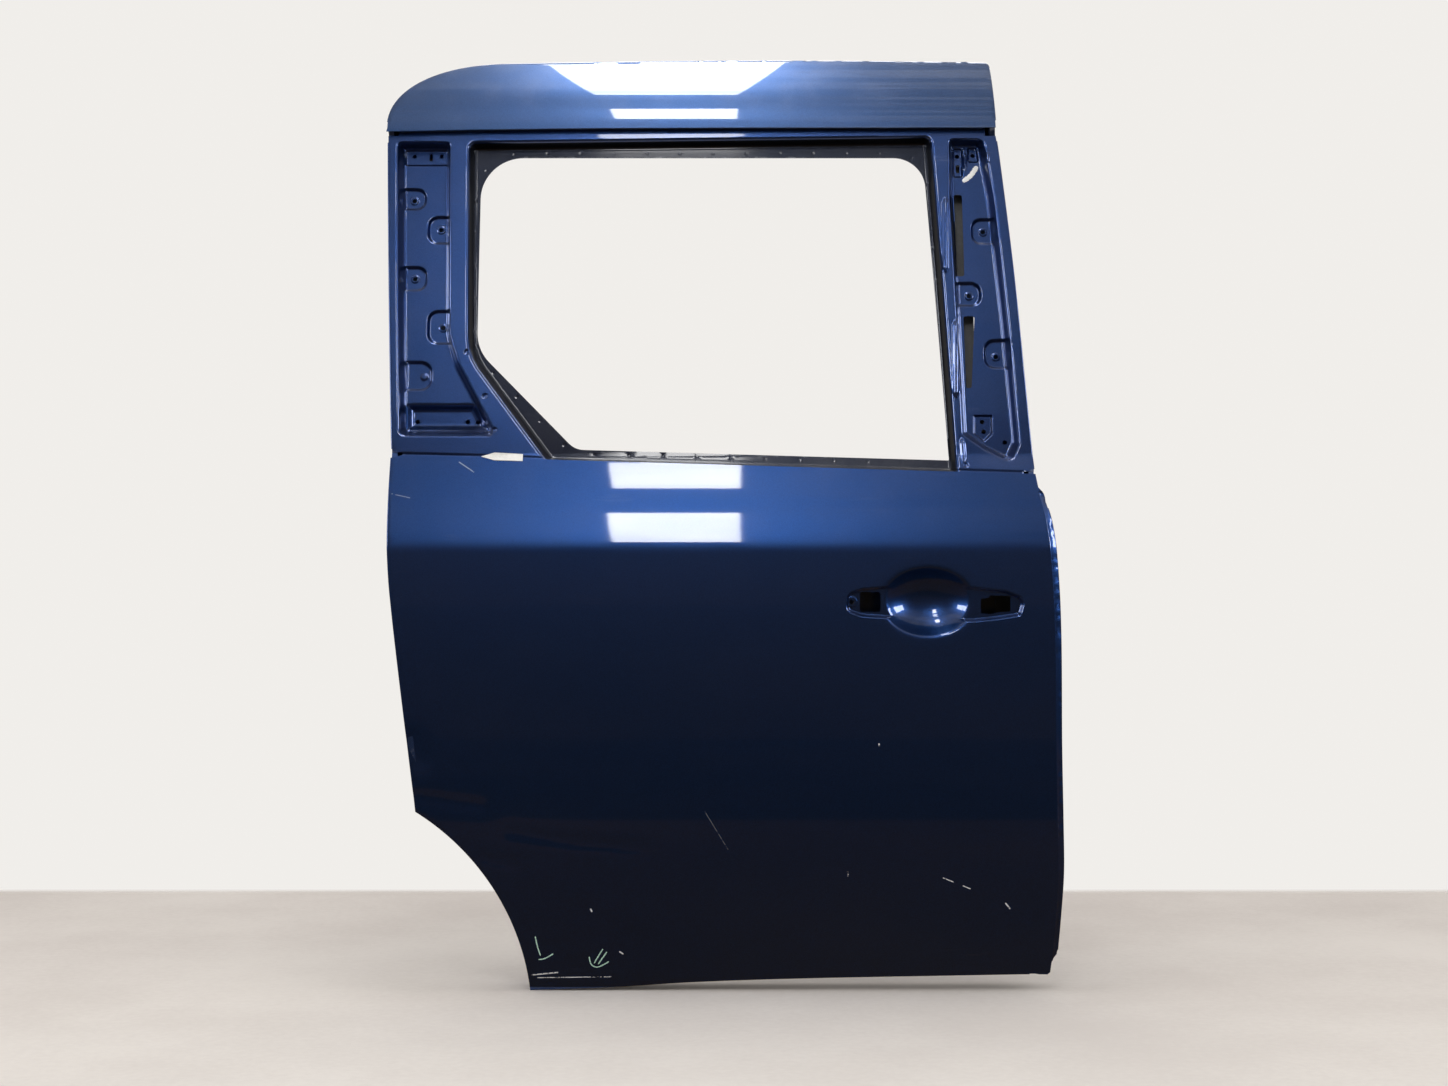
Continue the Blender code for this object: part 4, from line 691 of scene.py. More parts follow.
# %% Scratch group
scratch_group, given, result = new_group("scratch", "Mask", From=None, To=None, Width=0.0006, Breaks=0.4)
spot = arrows("SUBTRACT", arrows("MULTIPLY", given["Position"], (1.0, 0.0, 1.0)), given["From"])
run = arrows("SUBTRACT", given["To"], given["From"])
share = maths("DIVIDE", arrows("DOT_PRODUCT", spot, run), arrows("DOT_PRODUCT", run, run), clamp=True)
foot = node(scratch_group, "ShaderNodeVectorMath", operation="SCALE", in_0=run, in_Scale=share).outputs[0]
apart = arrows("DISTANCE", spot, foot)
breaks = ramp(noise(given["Position"], 160.0, 3.0, 0.7), given["Breaks"], plus(given["Breaks"], 0.08))
line = ramp(apart, times(given["Width"], 0.4), given["Width"], 1.0, 0.0)
wire(result, times(line, breaks))
print("values of a scratch:", [s.name for s in given if s.name])

# %% [markdown]
# ## Painted steel
# The paint is a dark blue metallic under a clear coat. A Principled shader with high Metallic gives
# the flake layer, which is bright where it faces the ceiling and almost black where it faces the
# room, and its Coat gives the sharp reflections on top. Dust and rubs raise the roughness and pale
# the colour, and worn edges show the grey primer.

# %% Paint
def new_material(name):
    """A material with nodes: its shader's inputs and the object's own coordinates."""
    material = bpy.data.materials.new(name)
    material.use_nodes = True
    tree = material.node_tree
    position = tree.nodes.new("ShaderNodeTexCoord").outputs["Object"]
    return material, tree.nodes["Principled BSDF"].inputs, position


def add_bump(height, strength, depth, normal):
    wire(normal, node(height.id_data, "ShaderNodeBump", in_Height=height, in_Strength=strength,
                      in_Distance=depth).outputs[0])


def painted(name, colour, rough=0.33, coat=1.0, coat_rough=0.03, dust=0.3, rubs=0.4, wear=0.5, peel=0.05,
            scratches=()):
    """A metallic paint finish. scratches are (from, to, width, colour) in door coordinates."""
    material, shader, position = new_material(name)
    flakes = add_group(flake_group, position, Flakes_per_Metre=1500.0, Contrast=0.35)
    base = node(material.node_tree, "ShaderNodeVectorMath", operation="SCALE", in_0=colour,
                in_Scale=flakes).outputs[0]
    dust_mask = add_group(dust_group, position, Amount=dust)
    rub_mask = add_group(rub_group, position, Amount=rubs)
    bare = add_group(edge_group, position, Sharpness=0.57, Amount=wear)
    base = mix_colour(times(dust_mask, 0.35), base, (0.42, 0.40, 0.38, 1))
    base = mix_colour(times(rub_mask, 0.30), base, (0.50, 0.52, 0.56, 1))
    base = mix_colour(bare, base, (0.33, 0.34, 0.36, 1))
    height = add_group(peel_group, position, Ripple=0.7, Waviness=0.3)
    marks = None
    for first, second, width, shade in scratches:
        ends = [(x - DATUM[0], 0, z - DATUM[2]) for x, z in (first, second)]
        mark = add_group(scratch_group, position, From=ends[0], To=ends[1], Width=width)
        base = mix_colour(mark, base, (*shade, 1))
        marks = mark if marks is None else maths("MAXIMUM", marks, mark)
    if marks is not None:
        bare = maths("MAXIMUM", bare, marks)
        height = minus(height, times(marks, 0.6))
    dull = plus(dust_mask, times(rub_mask, 0.5), clamp=True)
    covered = maths("MAXIMUM", times(dull, 0.55), bare)
    wire(shader["Base Color"], base)
    wire(shader["Roughness"], plus(times(dull, 0.30), rough, clamp=True))
    wire(shader["Metallic"], times(minus(1.0, bare, clamp=True), 0.9))
    wire(shader["Coat Weight"], times(minus(1.0, covered, clamp=True), coat))
    wire(shader["Coat Roughness"], coat_rough)
    add_bump(height, peel, 0.0006, shader["Normal"])
    return material


print("paints of the packed model:", [m.name for m in bpy.data.materials if m.name.endswith("paint")])

# %% [markdown]
# The scratches were measured in the picture. Each has its two ends there, a width in metres, how
# deep the sheet lies at that place, and a shade.

# %% Scratches and the four paints
PALE, GREY = (0.55, 0.58, 0.62), (0.20, 0.24, 0.30)
BLUE_GREY, NIGHT_GREY = (0.16, 0.20, 0.27), (0.10, 0.11, 0.13)
seen = [
    ((705, 812), (728, 850), 0.0006, 0.0, NIGHT_GREY), ((536, 982), (610, 981), 0.0009, 0.0, PALE),
    ((530, 979), (556, 976.5), 0.0013, 0.0, PALE), ((848, 873), (848.6, 877), 0.0013, 0.0, PALE),
    ((944, 879), (954, 883), 0.0009, 0.0, PALE), ((964, 887), (971, 890), 0.0009, 0.0, PALE),
    ((1007, 905), (1011, 910), 0.0014, 0.0, PALE), ((590, 911), (591, 913), 0.0016, 0.0, PALE),
    ((459, 462), (474, 472), 0.0010, 0.045, GREY), ((393, 494), (411, 498), 0.0008, 0.04, BLUE_GREY),
    ((619, 955), (622, 957), 0.0014, 0.0, PALE), ((879, 744), (879.5, 746), 0.0014, 0.0, PALE),
]
skin_scratches = [(door_point(*start, depth), door_point(*end, depth), width, shade)
                  for start, end, width, depth, shade in seen]
# The skin and the header carry one paint. The header's copy is lighter and greyer and the skin's darker:
# painted light on the header, which faces the ceiling, and painted shade on the upright skin.
skin_paint = painted("skin_paint", (0.007, 0.034, 0.135), dust=0.10, rubs=0.08, wear=0.0,
                     scratches=skin_scratches)
header_paint = painted("header_paint", (0.022, 0.055, 0.150), dust=0.15, rubs=0.15, wear=0.0)
frame_paint = painted("frame_paint", (0.014, 0.042, 0.150), rough=0.30, dust=0.25, rubs=0.5, wear=0.30,
                      peel=0.10)
# Near-black paint for the rebate's wall and flange: painted shade of the deep rebate.
rebate_black = painted("rebate_black", (0.008, 0.011, 0.022), rough=0.40, coat=0.7, coat_rough=0.08,
                       dust=0.30, wear=0.4, peel=0.14)
inner_paint = painted("inner_paint", (0.025, 0.055, 0.160), rough=0.42, coat=0.5, coat_rough=0.12,
                      dust=0.45, rubs=0.6, peel=0.14)
print("paints:", skin_paint.name, header_paint.name, frame_paint.name, rebate_black.name, inner_paint.name)

# %% [markdown]
# ## The outer skin
# The skin is one large panel. Its highlight needs a clean surface, so the grid is even and coarse,
# and fine only round the handle recess. The recess is a dish with a long flat seat across it; the
# front edge steps back so that the front door can lie over it. Knocks near the wheel arch are soft
# creases, 1.6 mm deep at most, which show only in the reflections, as on the real panel.

# %% Handle recess
HANDLE_X, HANDLE_Z = 0.276, 0.5312
CUP_LENGTH, CUP_HEIGHT, CUP_DEPTH, CUP_POWER = 0.126, 0.094, 0.028, 2.4
SEAT_FLOOR, FRONT_HOLE_X = 0.0105, 0.368
SCREW_X, SCREW_RADIUS = 0.173, 0.0032


def round_handle(offsets, x=HANDLE_X):
    """Corners given by their offsets from a point on the handle's own height."""
    return [(x + offset[0], HANDLE_Z + offset[1], *offset[2:]) for offset in offsets]


class Dish:
    """The finger cup: a rounded bowl whose rim blends into the skin over a millimetre or two."""
    rings = [oval(HANDLE_X, HANDLE_Z, CUP_LENGTH * s, CUP_HEIGHT * s)
             for s in (1.03, 1.0, 0.97, 0.90, 0.80, 0.66, 0.50)]
    softness, reach = 0.0016, 0.35

    def change(self, x, z, y):
        across = np.hypot((x - HANDLE_X) / (CUP_LENGTH / 2), (z - HANDLE_Z) / (CUP_HEIGHT / 2))
        deeper = side_face(x, z) + CUP_DEPTH * (1 - np.minimum(across, 1.6) ** CUP_POWER) - y
        blended = 0.5 * (deeper + np.sqrt(deeper ** 2 + self.softness ** 2))
        fading = 0.5 * self.softness * np.clip(across - 1.0, 0, self.reach) / self.reach * 0.1
        return np.where(across < 1 + self.reach, blended - fading, 0)


handle_seat = Form(round_handle([
    (-0.112, -0.013, 0.012), (-0.090, -0.0205, 0.02), (-0.030, -0.0245, 0.02), (0.060, -0.0275, 0.02),
    (0.095, -0.0240, 0.02), (0.126, -0.0190, 0.008), (0.1310, -0.0020, 0.008), (0.126, 0.0080, 0.010),
    (0.105, 0.0160, 0.02), (0.060, 0.0210, 0.02), (-0.030, 0.0240, 0.02), (-0.090, 0.0190, 0.02),
    (-0.110, 0.0120, 0.012)]), 0.01, 0.0045, onto(flat(SEAT_FLOOR)))
screw_ring = Form(circle(SCREW_X, HANDLE_Z, 0.0082), None, 0.0016, -0.0008, rings=2)
handle_holes = [
    rounded(box(0.198, HANDLE_Z, 0.028, 0.027), 0.003),
    rounded(round_handle([
        (-0.020, -0.0155), (-0.006, -0.0165), (0.004, -0.0140), (0.020, -0.0130), (0.020, 0.0080),
        (-0.008, 0.0090), (-0.009, 0.0055), (-0.014, 0.0050), (-0.020, 0.0040)], FRONT_HOLE_X), 0.0015),
    circle(SCREW_X, HANDLE_Z, SCREW_RADIUS)]
print("corners of the front handle hole:", len(handle_holes[1]))

# %% [markdown]
# The skin's front edge bends back in one even step. The knocks were read from the picture; each is
# a line there, with its width and its depth in metres.

# %% Front margin, knocks and the skin
def margin(shift_x=0.0):
    bend = through([(0.4466, 0.0400), (0.4470, 0.0505), (0.4500, 0.100), (0.4525, 0.160), (0.4510, 0.230),
                    (0.4487, 0.340), (0.4478, 0.485), (0.4445, 0.568), (0.4385, 0.636), (0.4288, 0.682)])
    bend = [(x + shift_x, z) for x, z in bend]
    corners = bend + [(0.56, bend[-1][1]), (0.56, bend[0][1])]
    return Form(corners, None, 0.0045, 0.006, rings=5)


knocks = [Crease([door_point(*p) for p in line], width, depth) for line, width, depth in [
    ([(510, 832), (575, 843), (640, 848)], 0.009, 0.0009), ([(480, 858), (515, 866)], 0.008, 0.0012),
    ([(418, 797), (480, 806)], 0.010, 0.0010), ([(412, 742), (421, 760)], 0.014, 0.0016),
    ([(585, 913), (640, 950)], 0.020, 0.0008), ([(545, 880), (600, 905)], 0.016, -0.0006),
    ([(530, 978), (655, 976)], 0.0035, -0.0007)]]
skin_hem = (lambda x, z: z < belt_height(x) - 0.003 and (x < 0.42 or 0.055 < z < 0.662), 0.0024, 0.0065)
outer_skin = press(
    "outer_skin_sheet", skin_outline(), side_face, skin_paint, SKIN_SHEET,
    forms=[margin(), handle_seat, Dish(), screw_ring] + knocks, holes=handle_holes, spacing=0.007,
    fine=[(HANDLE_X - 0.125, HANDLE_Z - 0.060, HANDLE_X + 0.145, HANDLE_Z + 0.060, 0.0026)], hem=skin_hem)
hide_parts("outer_skin")

# %% [markdown]
# ## The header
# Above the window a separate pressing runs into the roof. It stands proud of the pillars, and its
# foot turns back to meet the frame, which gives the dark line under it.

# %% Header panel
def header_outline():
    foot = HEADER_HEIGHT + 0.0005
    lower = [(x, foot - 0.006 * ((x - FRONT_TOP_X) / (REAR_TOP_X - FRONT_TOP_X)) ** 4)
             for x in np.linspace(REAR_TOP_X, FRONT_TOP_X, 60)]
    return lower + roof_run()[:-1]


def turn_foot(mesh, side=0.016, turns=4):
    """Rolls the header's lower edge back towards the frame, in a few short steps and a long one."""
    bm = bmesh.new()
    bm.from_mesh(mesh)
    edges = [e for e in bm.edges if e.is_boundary
             and all(v.co.z + DATUM[2] < HEADER_HEIGHT + 0.0012 for v in e.verts)
             and all(REAR_TOP_X + side < v.co.x + DATUM[0] < FRONT_TOP_X - side for v in e.verts)]
    for turn in range(1, turns + 1):
        turned = bmesh.ops.extrude_edge_only(bm, edges=edges)["geom"]
        angle = math.pi / 2 * turn / turns
        for vert in [v for v in turned if isinstance(v, bmesh.types.BMVert)]:
            vert.co.y += 0.0006 if turn < turns else HEADER_STANDOFF - SKIN_SHEET - SEAT_GAP - 0.0018
            vert.co.z -= 0.0004 * math.cos(angle)
        edges = [e for e in turned if isinstance(e, bmesh.types.BMEdge)]
    bm.to_mesh(mesh)
    bm.free()
    mesh.shade_smooth()


header = press("header_panel_sheet", header_outline(), header_face, header_paint, SKIN_SHEET,
               hem=(lambda x, z: z > HEADER_HEIGHT + 0.009, 0.0024, 0.006))
turn_foot(header.data)
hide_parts("header_panel")

# %% [markdown]
# ## The window frame
# One deep pressing carries both pillars and the window's rebate. Each pillar has a well for the
# trim, with D-shaped pads round the clip holes, shelves at its ends and long beads that keep the
# thin wall from drumming. The grid is finest in the wells, where the small bends are.

# %% Window and rebate
GLASS_DEPTH, REBATE_WALL = 0.022, 0.010
WINDOW_CORNERS = [(-0.3440, 0.8800), (-0.2060, 0.7400, 0.030), (0.3110, 0.7250, 0.002),
                  (0.2820, 1.1575, 0.045), (-0.3440, 1.1575)]


def window_edge(inset=0.0):
    return rounded(WINDOW_CORNERS, 0.060, inset, step=math.radians(5))


def rebate():
    corners = [(-0.3560, 0.8700, 0.08), (-0.2440, float(belt_height(-0.244)) - 0.0050, 0.02),
               (0.3220, float(belt_height(0.322)) - 0.0050, 0.003), (0.2940, 1.1868, 0.012),
               (-0.3620, 1.1785, 0.012)]
    return Form(corners, 0.02, REBATE_WALL, GLASS_DEPTH, rings=6)


print("corners of the window:", len(WINDOW_CORNERS))

# %% [markdown]
# ### Forms in the wells
# The same few shapes come again and again in the two wells: pads, collars round the holes, beads
# and dimples. Each gets a small function, and the lists below say where they sit.

# %% Wells, pads, shelves and beads
WELL_DEPTH, WELL_WALL, PAD_DEPTH, CLIP_HOLE = 0.022, 0.009, 0.005, 0.0032


def pad(x, z, width, height, toward):
    """A D-shaped pad, straight where it meets the well's wall."""
    half = height / 2
    corners = [(x, z - half, 0), (x, z + half, 0), (x + toward * width, z + half, half * 0.98),
               (x + toward * width, z - half, half * 0.98)]
    if toward > 0:
        corners.reverse()
    return Form(corners, half, 0.0042, PAD_DEPTH)


def collar(x, z):
    return Form(circle(x, z, 0.0066, 16), None, 0.0018, -0.0011, rings=2)


def bead(low_x, low_z, high_x, high_z, width=0.011, height=-0.0035):
    """A narrow raised bead with pointed ends."""
    half = width / 2
    corners = [(low_x - half, low_z + 0.010), (low_x, low_z), (low_x + half, low_z + 0.010),
               (high_x + half, high_z - 0.012), (high_x, high_z), (high_x - half, high_z - 0.012)]
    return Form(corners, 0.003, 0.0045, height, rings=3)


def dimple(x, z, radius=0.0045, depth=0.0014):
    return Form(circle(x, z, radius, 14), None, 0.0030, depth, rings=2)


rear_clips = [(-0.4393, 1.1600), (-0.4009, 1.1600), (-0.4374, 1.0943), (-0.4334, 0.9813), (-0.3985, 1.0521),
              (-0.3925, 0.9113), (-0.4254, 0.7790), (-0.3560, 0.7790), (-0.3420, 0.7785)]
front_clips = [(0.3310, 1.1600), (0.3532, 1.1610), (0.3649, 1.0492), (0.3790, 0.8702), (0.3432, 0.9570),
               (0.3580, 0.7790), (0.3600, 0.7650), (0.3886, 0.7500)]
collared = [(-0.4374, 1.0943), (-0.4334, 0.9813), (-0.3985, 1.0521), (0.3790, 0.8702),
            (-0.3925, 0.9113), (0.3432, 0.9570), (0.3649, 1.0492)]
rear_forms = [
    Form([(-0.4620, 1.1785, 0.008), (-0.4480, 0.7570, 0.012), (-0.3110, 0.7570, 0.008),
          (-0.3665, 0.8610, 0.05), (-0.3785, 0.9000, 0.05), (-0.3850, 1.1785, 0.008)],
         0.01, WELL_WALL, WELL_DEPTH, rings=6),
    Form([(-0.4535, 1.1700), (-0.4525, 1.1450), (-0.3905, 1.1450), (-0.3920, 1.1700)], 0.004, 0.003, 0.004),
    Form([(-0.4420, 0.8040), (-0.4405, 0.7650), (-0.3225, 0.7650), (-0.3450, 0.8040)], 0.006, 0.010, 0.010,
         rings=5),
    pad(-0.4530, 1.0965, 0.034, 0.033, 1), pad(-0.4490, 0.9813, 0.034, 0.037, 1),
    pad(-0.4435, 0.8430, 0.039, 0.043, 1), pad(-0.3840, 1.0514, 0.034, 0.042, -1),
    pad(-0.3790, 0.9120, 0.036, 0.050, -1), dimple(-0.4173, 0.8419, 0.0060, -0.0012),
    dimple(-0.3557, 0.8753), dimple(-0.3296, 0.8137), dimple(-0.3161, 0.7666),
]
front_forms = [
    Form([(0.3165, 1.1830, 0.008), (0.3150, 1.0950, 0.10), (0.3210, 0.9300, 0.10), (0.3270, 0.7600, 0.008),
          (0.3580, 0.7375, 0.02), (0.3950, 0.7200, 0.010), (0.4075, 0.7480, 0.020), (0.3965, 0.9063, 0.2),
          (0.3805, 1.0923, 0.2), (0.3675, 1.1830, 0.014)], 0.01, WELL_WALL, WELL_DEPTH, rings=6),
    Form([(0.3245, 1.1720), (0.3240, 1.1280), (0.3390, 1.1280), (0.3395, 1.1720)], 0.004, 0.003, 0.004),
    Form([(0.3450, 1.1735), (0.3450, 1.1500), (0.3620, 1.1500), (0.3600, 1.1735)], 0.004, 0.003, 0.004),
    pad(0.3800, 1.0495, 0.033, 0.039, -1), pad(0.3970, 0.8740, 0.036, 0.043, -1),
    pad(0.3270, 0.9590, 0.034, 0.036, 1),
    Form([(0.3455, 0.7890), (0.3450, 0.7620), (0.3600, 0.7500), (0.3725, 0.7620), (0.3725, 0.7890)], 0.003,
         0.003, 0.005),
    bead(0.3083, 0.9841, 0.3108, 1.1007), bead(0.3197, 0.8080, 0.3218, 0.9259),
    bead(0.3285, 0.7182, 0.3275, 0.7599, 0.010, -0.003), bead(0.3413, 1.1350, 0.3421, 1.1700, 0.007, -0.003),
    bead(0.3697, 1.1400, 0.3704, 1.1680, 0.010, -0.003), dimple(0.3316, 0.7174),
]
collars = [collar(x, z) for x, z in collared]
frame_holes = [circle(x, z, CLIP_HOLE) for x, z in rear_clips + front_clips]
frame_holes += [slot(-0.4158, 1.1585, 0.0050, 0.0110), slot(0.3315, 1.1415, 0.0050, 0.0120),
                rounded([(0.3245, 1.1030), (0.3265, 0.9850), (0.3370, 0.9850), (0.3362, 1.1030)], 0.003),
                rounded([(0.3345, 0.9280), (0.3360, 0.8260), (0.3440, 0.8260), (0.3500, 0.9280)], 0.003)]
print("forms in the wells:", len(rear_forms) + len(front_forms) + len(collars))

# %% [markdown]
# Spot welds join the rebate's flange to the inner panel, 47 mm apart. Each leaves a shallow
# round mark, and those marks are what makes the flange glitter.

# %% Spot welds and the frame
def along_loop(outline, spacing, start=0.0):
    """Points at even steps along a closed outline."""
    found, travelled, due = [], 0.0, start
    for i, point in enumerate(outline):
        nxt = outline[(i + 1) % len(outline)]
        span = math.dist(point, nxt)
        while due < travelled + span:
            share = (due - travelled) / span
            found.append((point[0] + (nxt[0] - point[0]) * share, point[1] + (nxt[1] - point[1]) * share))
            due += spacing
        travelled += span
    return found


WELD_SPACING, WELD_RADIUS, WELD_OFFSET = 0.047, 0.0030, 0.0062
welds = [Form(circle(x, z, WELD_RADIUS, 10), None, 0.0015, 0.0003, rings=1)
         for x, z in along_loop(window_edge(-WELD_OFFSET), WELD_SPACING, 0.02)]


def frame_outline():
    side = 0.0155
    top = HEADER_HEIGHT + 0.030
    tuck, foot = 0.0035, 0.030
    rear, front = float(belt_height(BELT_REAR_X)) + tuck, float(belt_height(BELT_FRONT_X)) + tuck
    edge = HEADER_HEIGHT - 0.010
    front_edge = [p for p in front_pillar_run() if front < p[1] < edge - 0.001]
    rear_edge = [p for p in rear_pillar_run() if rear < p[1] < edge - 0.001]
    return ([(BELT_REAR_X + side, rear - tuck - foot), (BELT_FRONT_X - side, front - tuck - foot),
             (BELT_FRONT_X - side, front), (BELT_FRONT_X - 0.0006, front)] + front_edge
            + [(FRONT_TOP_X + 0.0009, edge), (FRONT_TOP_X - side, edge), (FRONT_TOP_X - side, top),
               (REAR_TOP_X + side + 0.012, top), (REAR_TOP_X + side, edge), (REAR_TOP_X + 0.0003, edge)]
            + rear_edge + [(BELT_REAR_X + 0.0002, rear), (BELT_REAR_X + side, rear)])


def belt_joggle():
    """The frame steps in below the belt, so that the skin can lie on it."""
    indent = 0.0135
    left, right = BELT_REAR_X + indent, BELT_FRONT_X - indent
    corners = [(left, 0.5), (right, 0.5), (right, float(belt_height(right)) + 0.005),
               (left, float(belt_height(left)) + 0.005)]
    return Form(corners, None, 0.0035, SKIN_SHEET + 2 * SEAT_GAP, rings=2)


frame_hem = (lambda x, z: z > belt_height(x) + 0.0045 and (x < BELT_REAR_X + 0.001 or x > FRONT_TOP_X - 0.001)
             and z < HEADER_HEIGHT - 0.016, 0.0026, 0.006)
window_frame = press(
    "window_frame_sheet", frame_outline(), side_face, frame_paint, FRAME_SHEET,
    forms=[belt_joggle(), rebate()] + rear_forms + front_forms + collars + welds,
    holes=[window_edge()] + frame_holes, spacing=0.0055,
    fine=[(-0.470, 0.745, -0.300, 1.190, 0.0030), (0.290, 0.712, 0.425, 1.190, 0.0028)], hem=frame_hem)
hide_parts("window_frame")

# %% [markdown]
# The rebate's wall and flange lie deep under the header and the pillars, where little light reaches, so those
# faces get a second, near-black material: painted shade. The border follows one of the rings.

# %% Painted shade in the rebate
window_frame.data.materials.append(rebate_black)
middles = np.array([face.center for face in window_frame.data.polygons], float) + DATUM
shaded = inside(rebate().rings[3], middles[:, 0], middles[:, 2])
window_frame.data.polygons.foreach_set("material_index", shaded.astype(np.int32))
print("primed faces:", int(shaded.sum()))

# %% [markdown]
# ## The inner panel
# The inner panel closes the door. It is a shallow pan with large access holes, pads where the
# roller arms and latches bolt on, and beads that stiffen the flats between them.

# %% Inner panel
BOLTS = {"centre_carriage": (-0.385, 0.610, 0.044, 0.060), "upper_arm": (0.318, 1.215, 0.040, 0.018),
         "lower_arm": (0.375, 0.105, 0.044, 0.044), "front_lock": (0.398, 0.520, 0.024, 0.060),
         "rear_lock": (-0.382, 0.440, 0.026, 0.060)}
WINDOW_FLANGE, BOLT_HOLE = 0.024, 0.0045


def bolt_places(x, z, width, height):
    return [(x - width / 2, z + height / 2), (x + width / 2, z + height / 2), (x, z - height / 2)]


def inner_forms():
    edge = shifted(door_outline(), SKIN_SHEET + HEM_EDGE_GAP + 0.0075)
    flange = lambda x, z: side_face(x, z) + GLASS_DEPTH + (FRAME_SHEET + SEAT_GAP) * 1.1
    radii = [(c[2] if len(c) > 2 else 0.060) + WINDOW_FLANGE for c in WINDOW_CORNERS]
    rim = [(*spot, radius) for spot, radius in zip(mitred(WINDOW_CORNERS, -WINDOW_FLANGE), radii)]
    carriage_pad = box(*BOLTS["centre_carriage"][:2], 0.082, 0.102)
    arm_pad = box(*BOLTS["upper_arm"][:2], 0.072, 0.046)
    return [margin(-0.010), Form(edge, None, 0.005, onto(pan_face)),
            Form(rim, 0.084, 0.010, onto(flange), rings=5),
            Form(carriage_pad, 0.010, 0.006, onto(flat(INNER_DEPTH))),
            Form(arm_pad, 0.010, 0.006, onto(flat(UPPER_ARM_DEPTH))),
            Form([(-0.300, 0.650), (0.330, 0.640), (0.330, 0.664), (-0.300, 0.674)], 0.010, 0.007, -0.006),
            Form([(-0.190, 0.060), (0.280, 0.065), (0.280, 0.085), (-0.190, 0.080)], 0.009, 0.007, -0.006)]


access_holes = [rounded(corners, radius, step=math.radians(6)) for corners, radius in [
    ([(-0.285, 0.190), (-0.040, 0.130), (-0.030, 0.600), (-0.300, 0.600)], 0.035),
    ([(0.030, 0.120), (0.280, 0.120), (0.300, 0.400), (0.030, 0.400)], 0.035),
    ([(0.015, 0.455), (0.160, 0.455), (0.160, 0.600), (0.015, 0.600)], 0.030)]]
access_holes += [slot(0.362, 0.930, 0.022, 0.110), slot(-0.418, 0.960, 0.022, 0.110),
                 slot(0.362, 0.215, 0.050, 0.026)]
bolt_holes = [circle(x, z, BOLT_HOLE) for pattern in BOLTS.values() for x, z in bolt_places(*pattern)]
inner_panel = press(
    "inner_panel_sheet", shifted(door_outline(), SKIN_SHEET + HEM_EDGE_GAP),
    behind(door_face, SKIN_SHEET + HEM_GAP), inner_paint, INNER_SHEET, forms=inner_forms(),
    holes=[window_edge()] + access_holes + bolt_holes, spacing=0.007)
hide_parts("inner_panel")

# %% [markdown]
# ## Plates, nuts and soft pads
# The pieces between the stampings keep their solids. The plates are dipped in primer, which runs and pools a
# little; the darkest primer is near black, partly the dark dip itself and partly painted shade for the inside
# of the door, seen through the holes. The nuts are zinc-plated; the mastic and the deadener are matt and
# slightly lumpy.

# %% Small finishes
def plain_finish(name, colour, rough, metallic=0.0, mottle=0.25, bump=0.2, scale=60.0):
    """A finish whose colour and gloss wander a little over the surface."""
    material, shader, position = new_material(name)
    cloud = noise(position, scale, 4.0, 0.6)
    darker, paler = [c * (1 - mottle) for c in colour], [min(1.0, c * 1.6 + 0.04) for c in colour]
    base = mix_colour(ramp(cloud, 0.3, 0.7), (*darker, 1), (*colour, 1))
    dust_mask = add_group(dust_group, position, Amount=0.3)
    worn = add_group(edge_group, position, Sharpness=0.58, Amount=0.4)
    base = mix_colour(times(dust_mask, 0.4), base, (0.40, 0.38, 0.36, 1))
    wire(shader["Base Color"], mix_colour(worn, base, (*paler, 1)))
    wire(shader["Roughness"], ramp(cloud, 0.2, 0.8, rough - 0.07, rough + 0.10))
    wire(shader["Metallic"], metallic)
    add_bump(plus(cloud, times(noise(position, scale * 9, 2.0), 0.4)), bump, 0.0006, shader["Normal"])
    return material


finishes = {
    # Near-black primer: the dark dip, and painted shade for the door's inside seen through the holes.
    "primer": plain_finish("dark_primer_and_shade", (0.028, 0.030, 0.034), 0.45),
    "beam_primer": plain_finish("beam_primer", (0.07, 0.075, 0.09), 0.42),
    "zinc": plain_finish("zinc_plate", (0.50, 0.48, 0.42), 0.38, metallic=1.0, scale=300.0),
    "mastic": plain_finish("mastic", (0.035, 0.034, 0.032), 0.75, bump=0.6, scale=120.0),
    "deadener": plain_finish("bitumen_sheet", (0.025, 0.024, 0.023), 0.85, bump=0.7, scale=200.0),
    "sealer": plain_finish("seam_sealer", (0.70, 0.70, 0.68), 0.55, mottle=0.12, bump=0.5, scale=90.0)}
slots = {part["node"]: part["material_slot"] for part in frame["record"]["subparts"]}
finished = [name for name in frame["nodes"] if slots[name] in finishes]
for name in finished:
    frame["nodes"][name].data.materials.clear()
    frame["nodes"][name].data.materials.append(finishes[slots[name]])
print("finished plates:", len(finished))

# %% [markdown]
# ## Marks on the paint
# Somebody drew two small arrows on the skin with a pale marker, and one daub of white paint sits in
# the front well. They lie on the paint with an edge of their own, so each is a thin ribbon of mesh
# that follows the pressed sheet, the ink a tenth of a millimetre proud of it and the daub half a
# millimetre.

# %% Ribbons
RIBBON_STEP = 0.0012


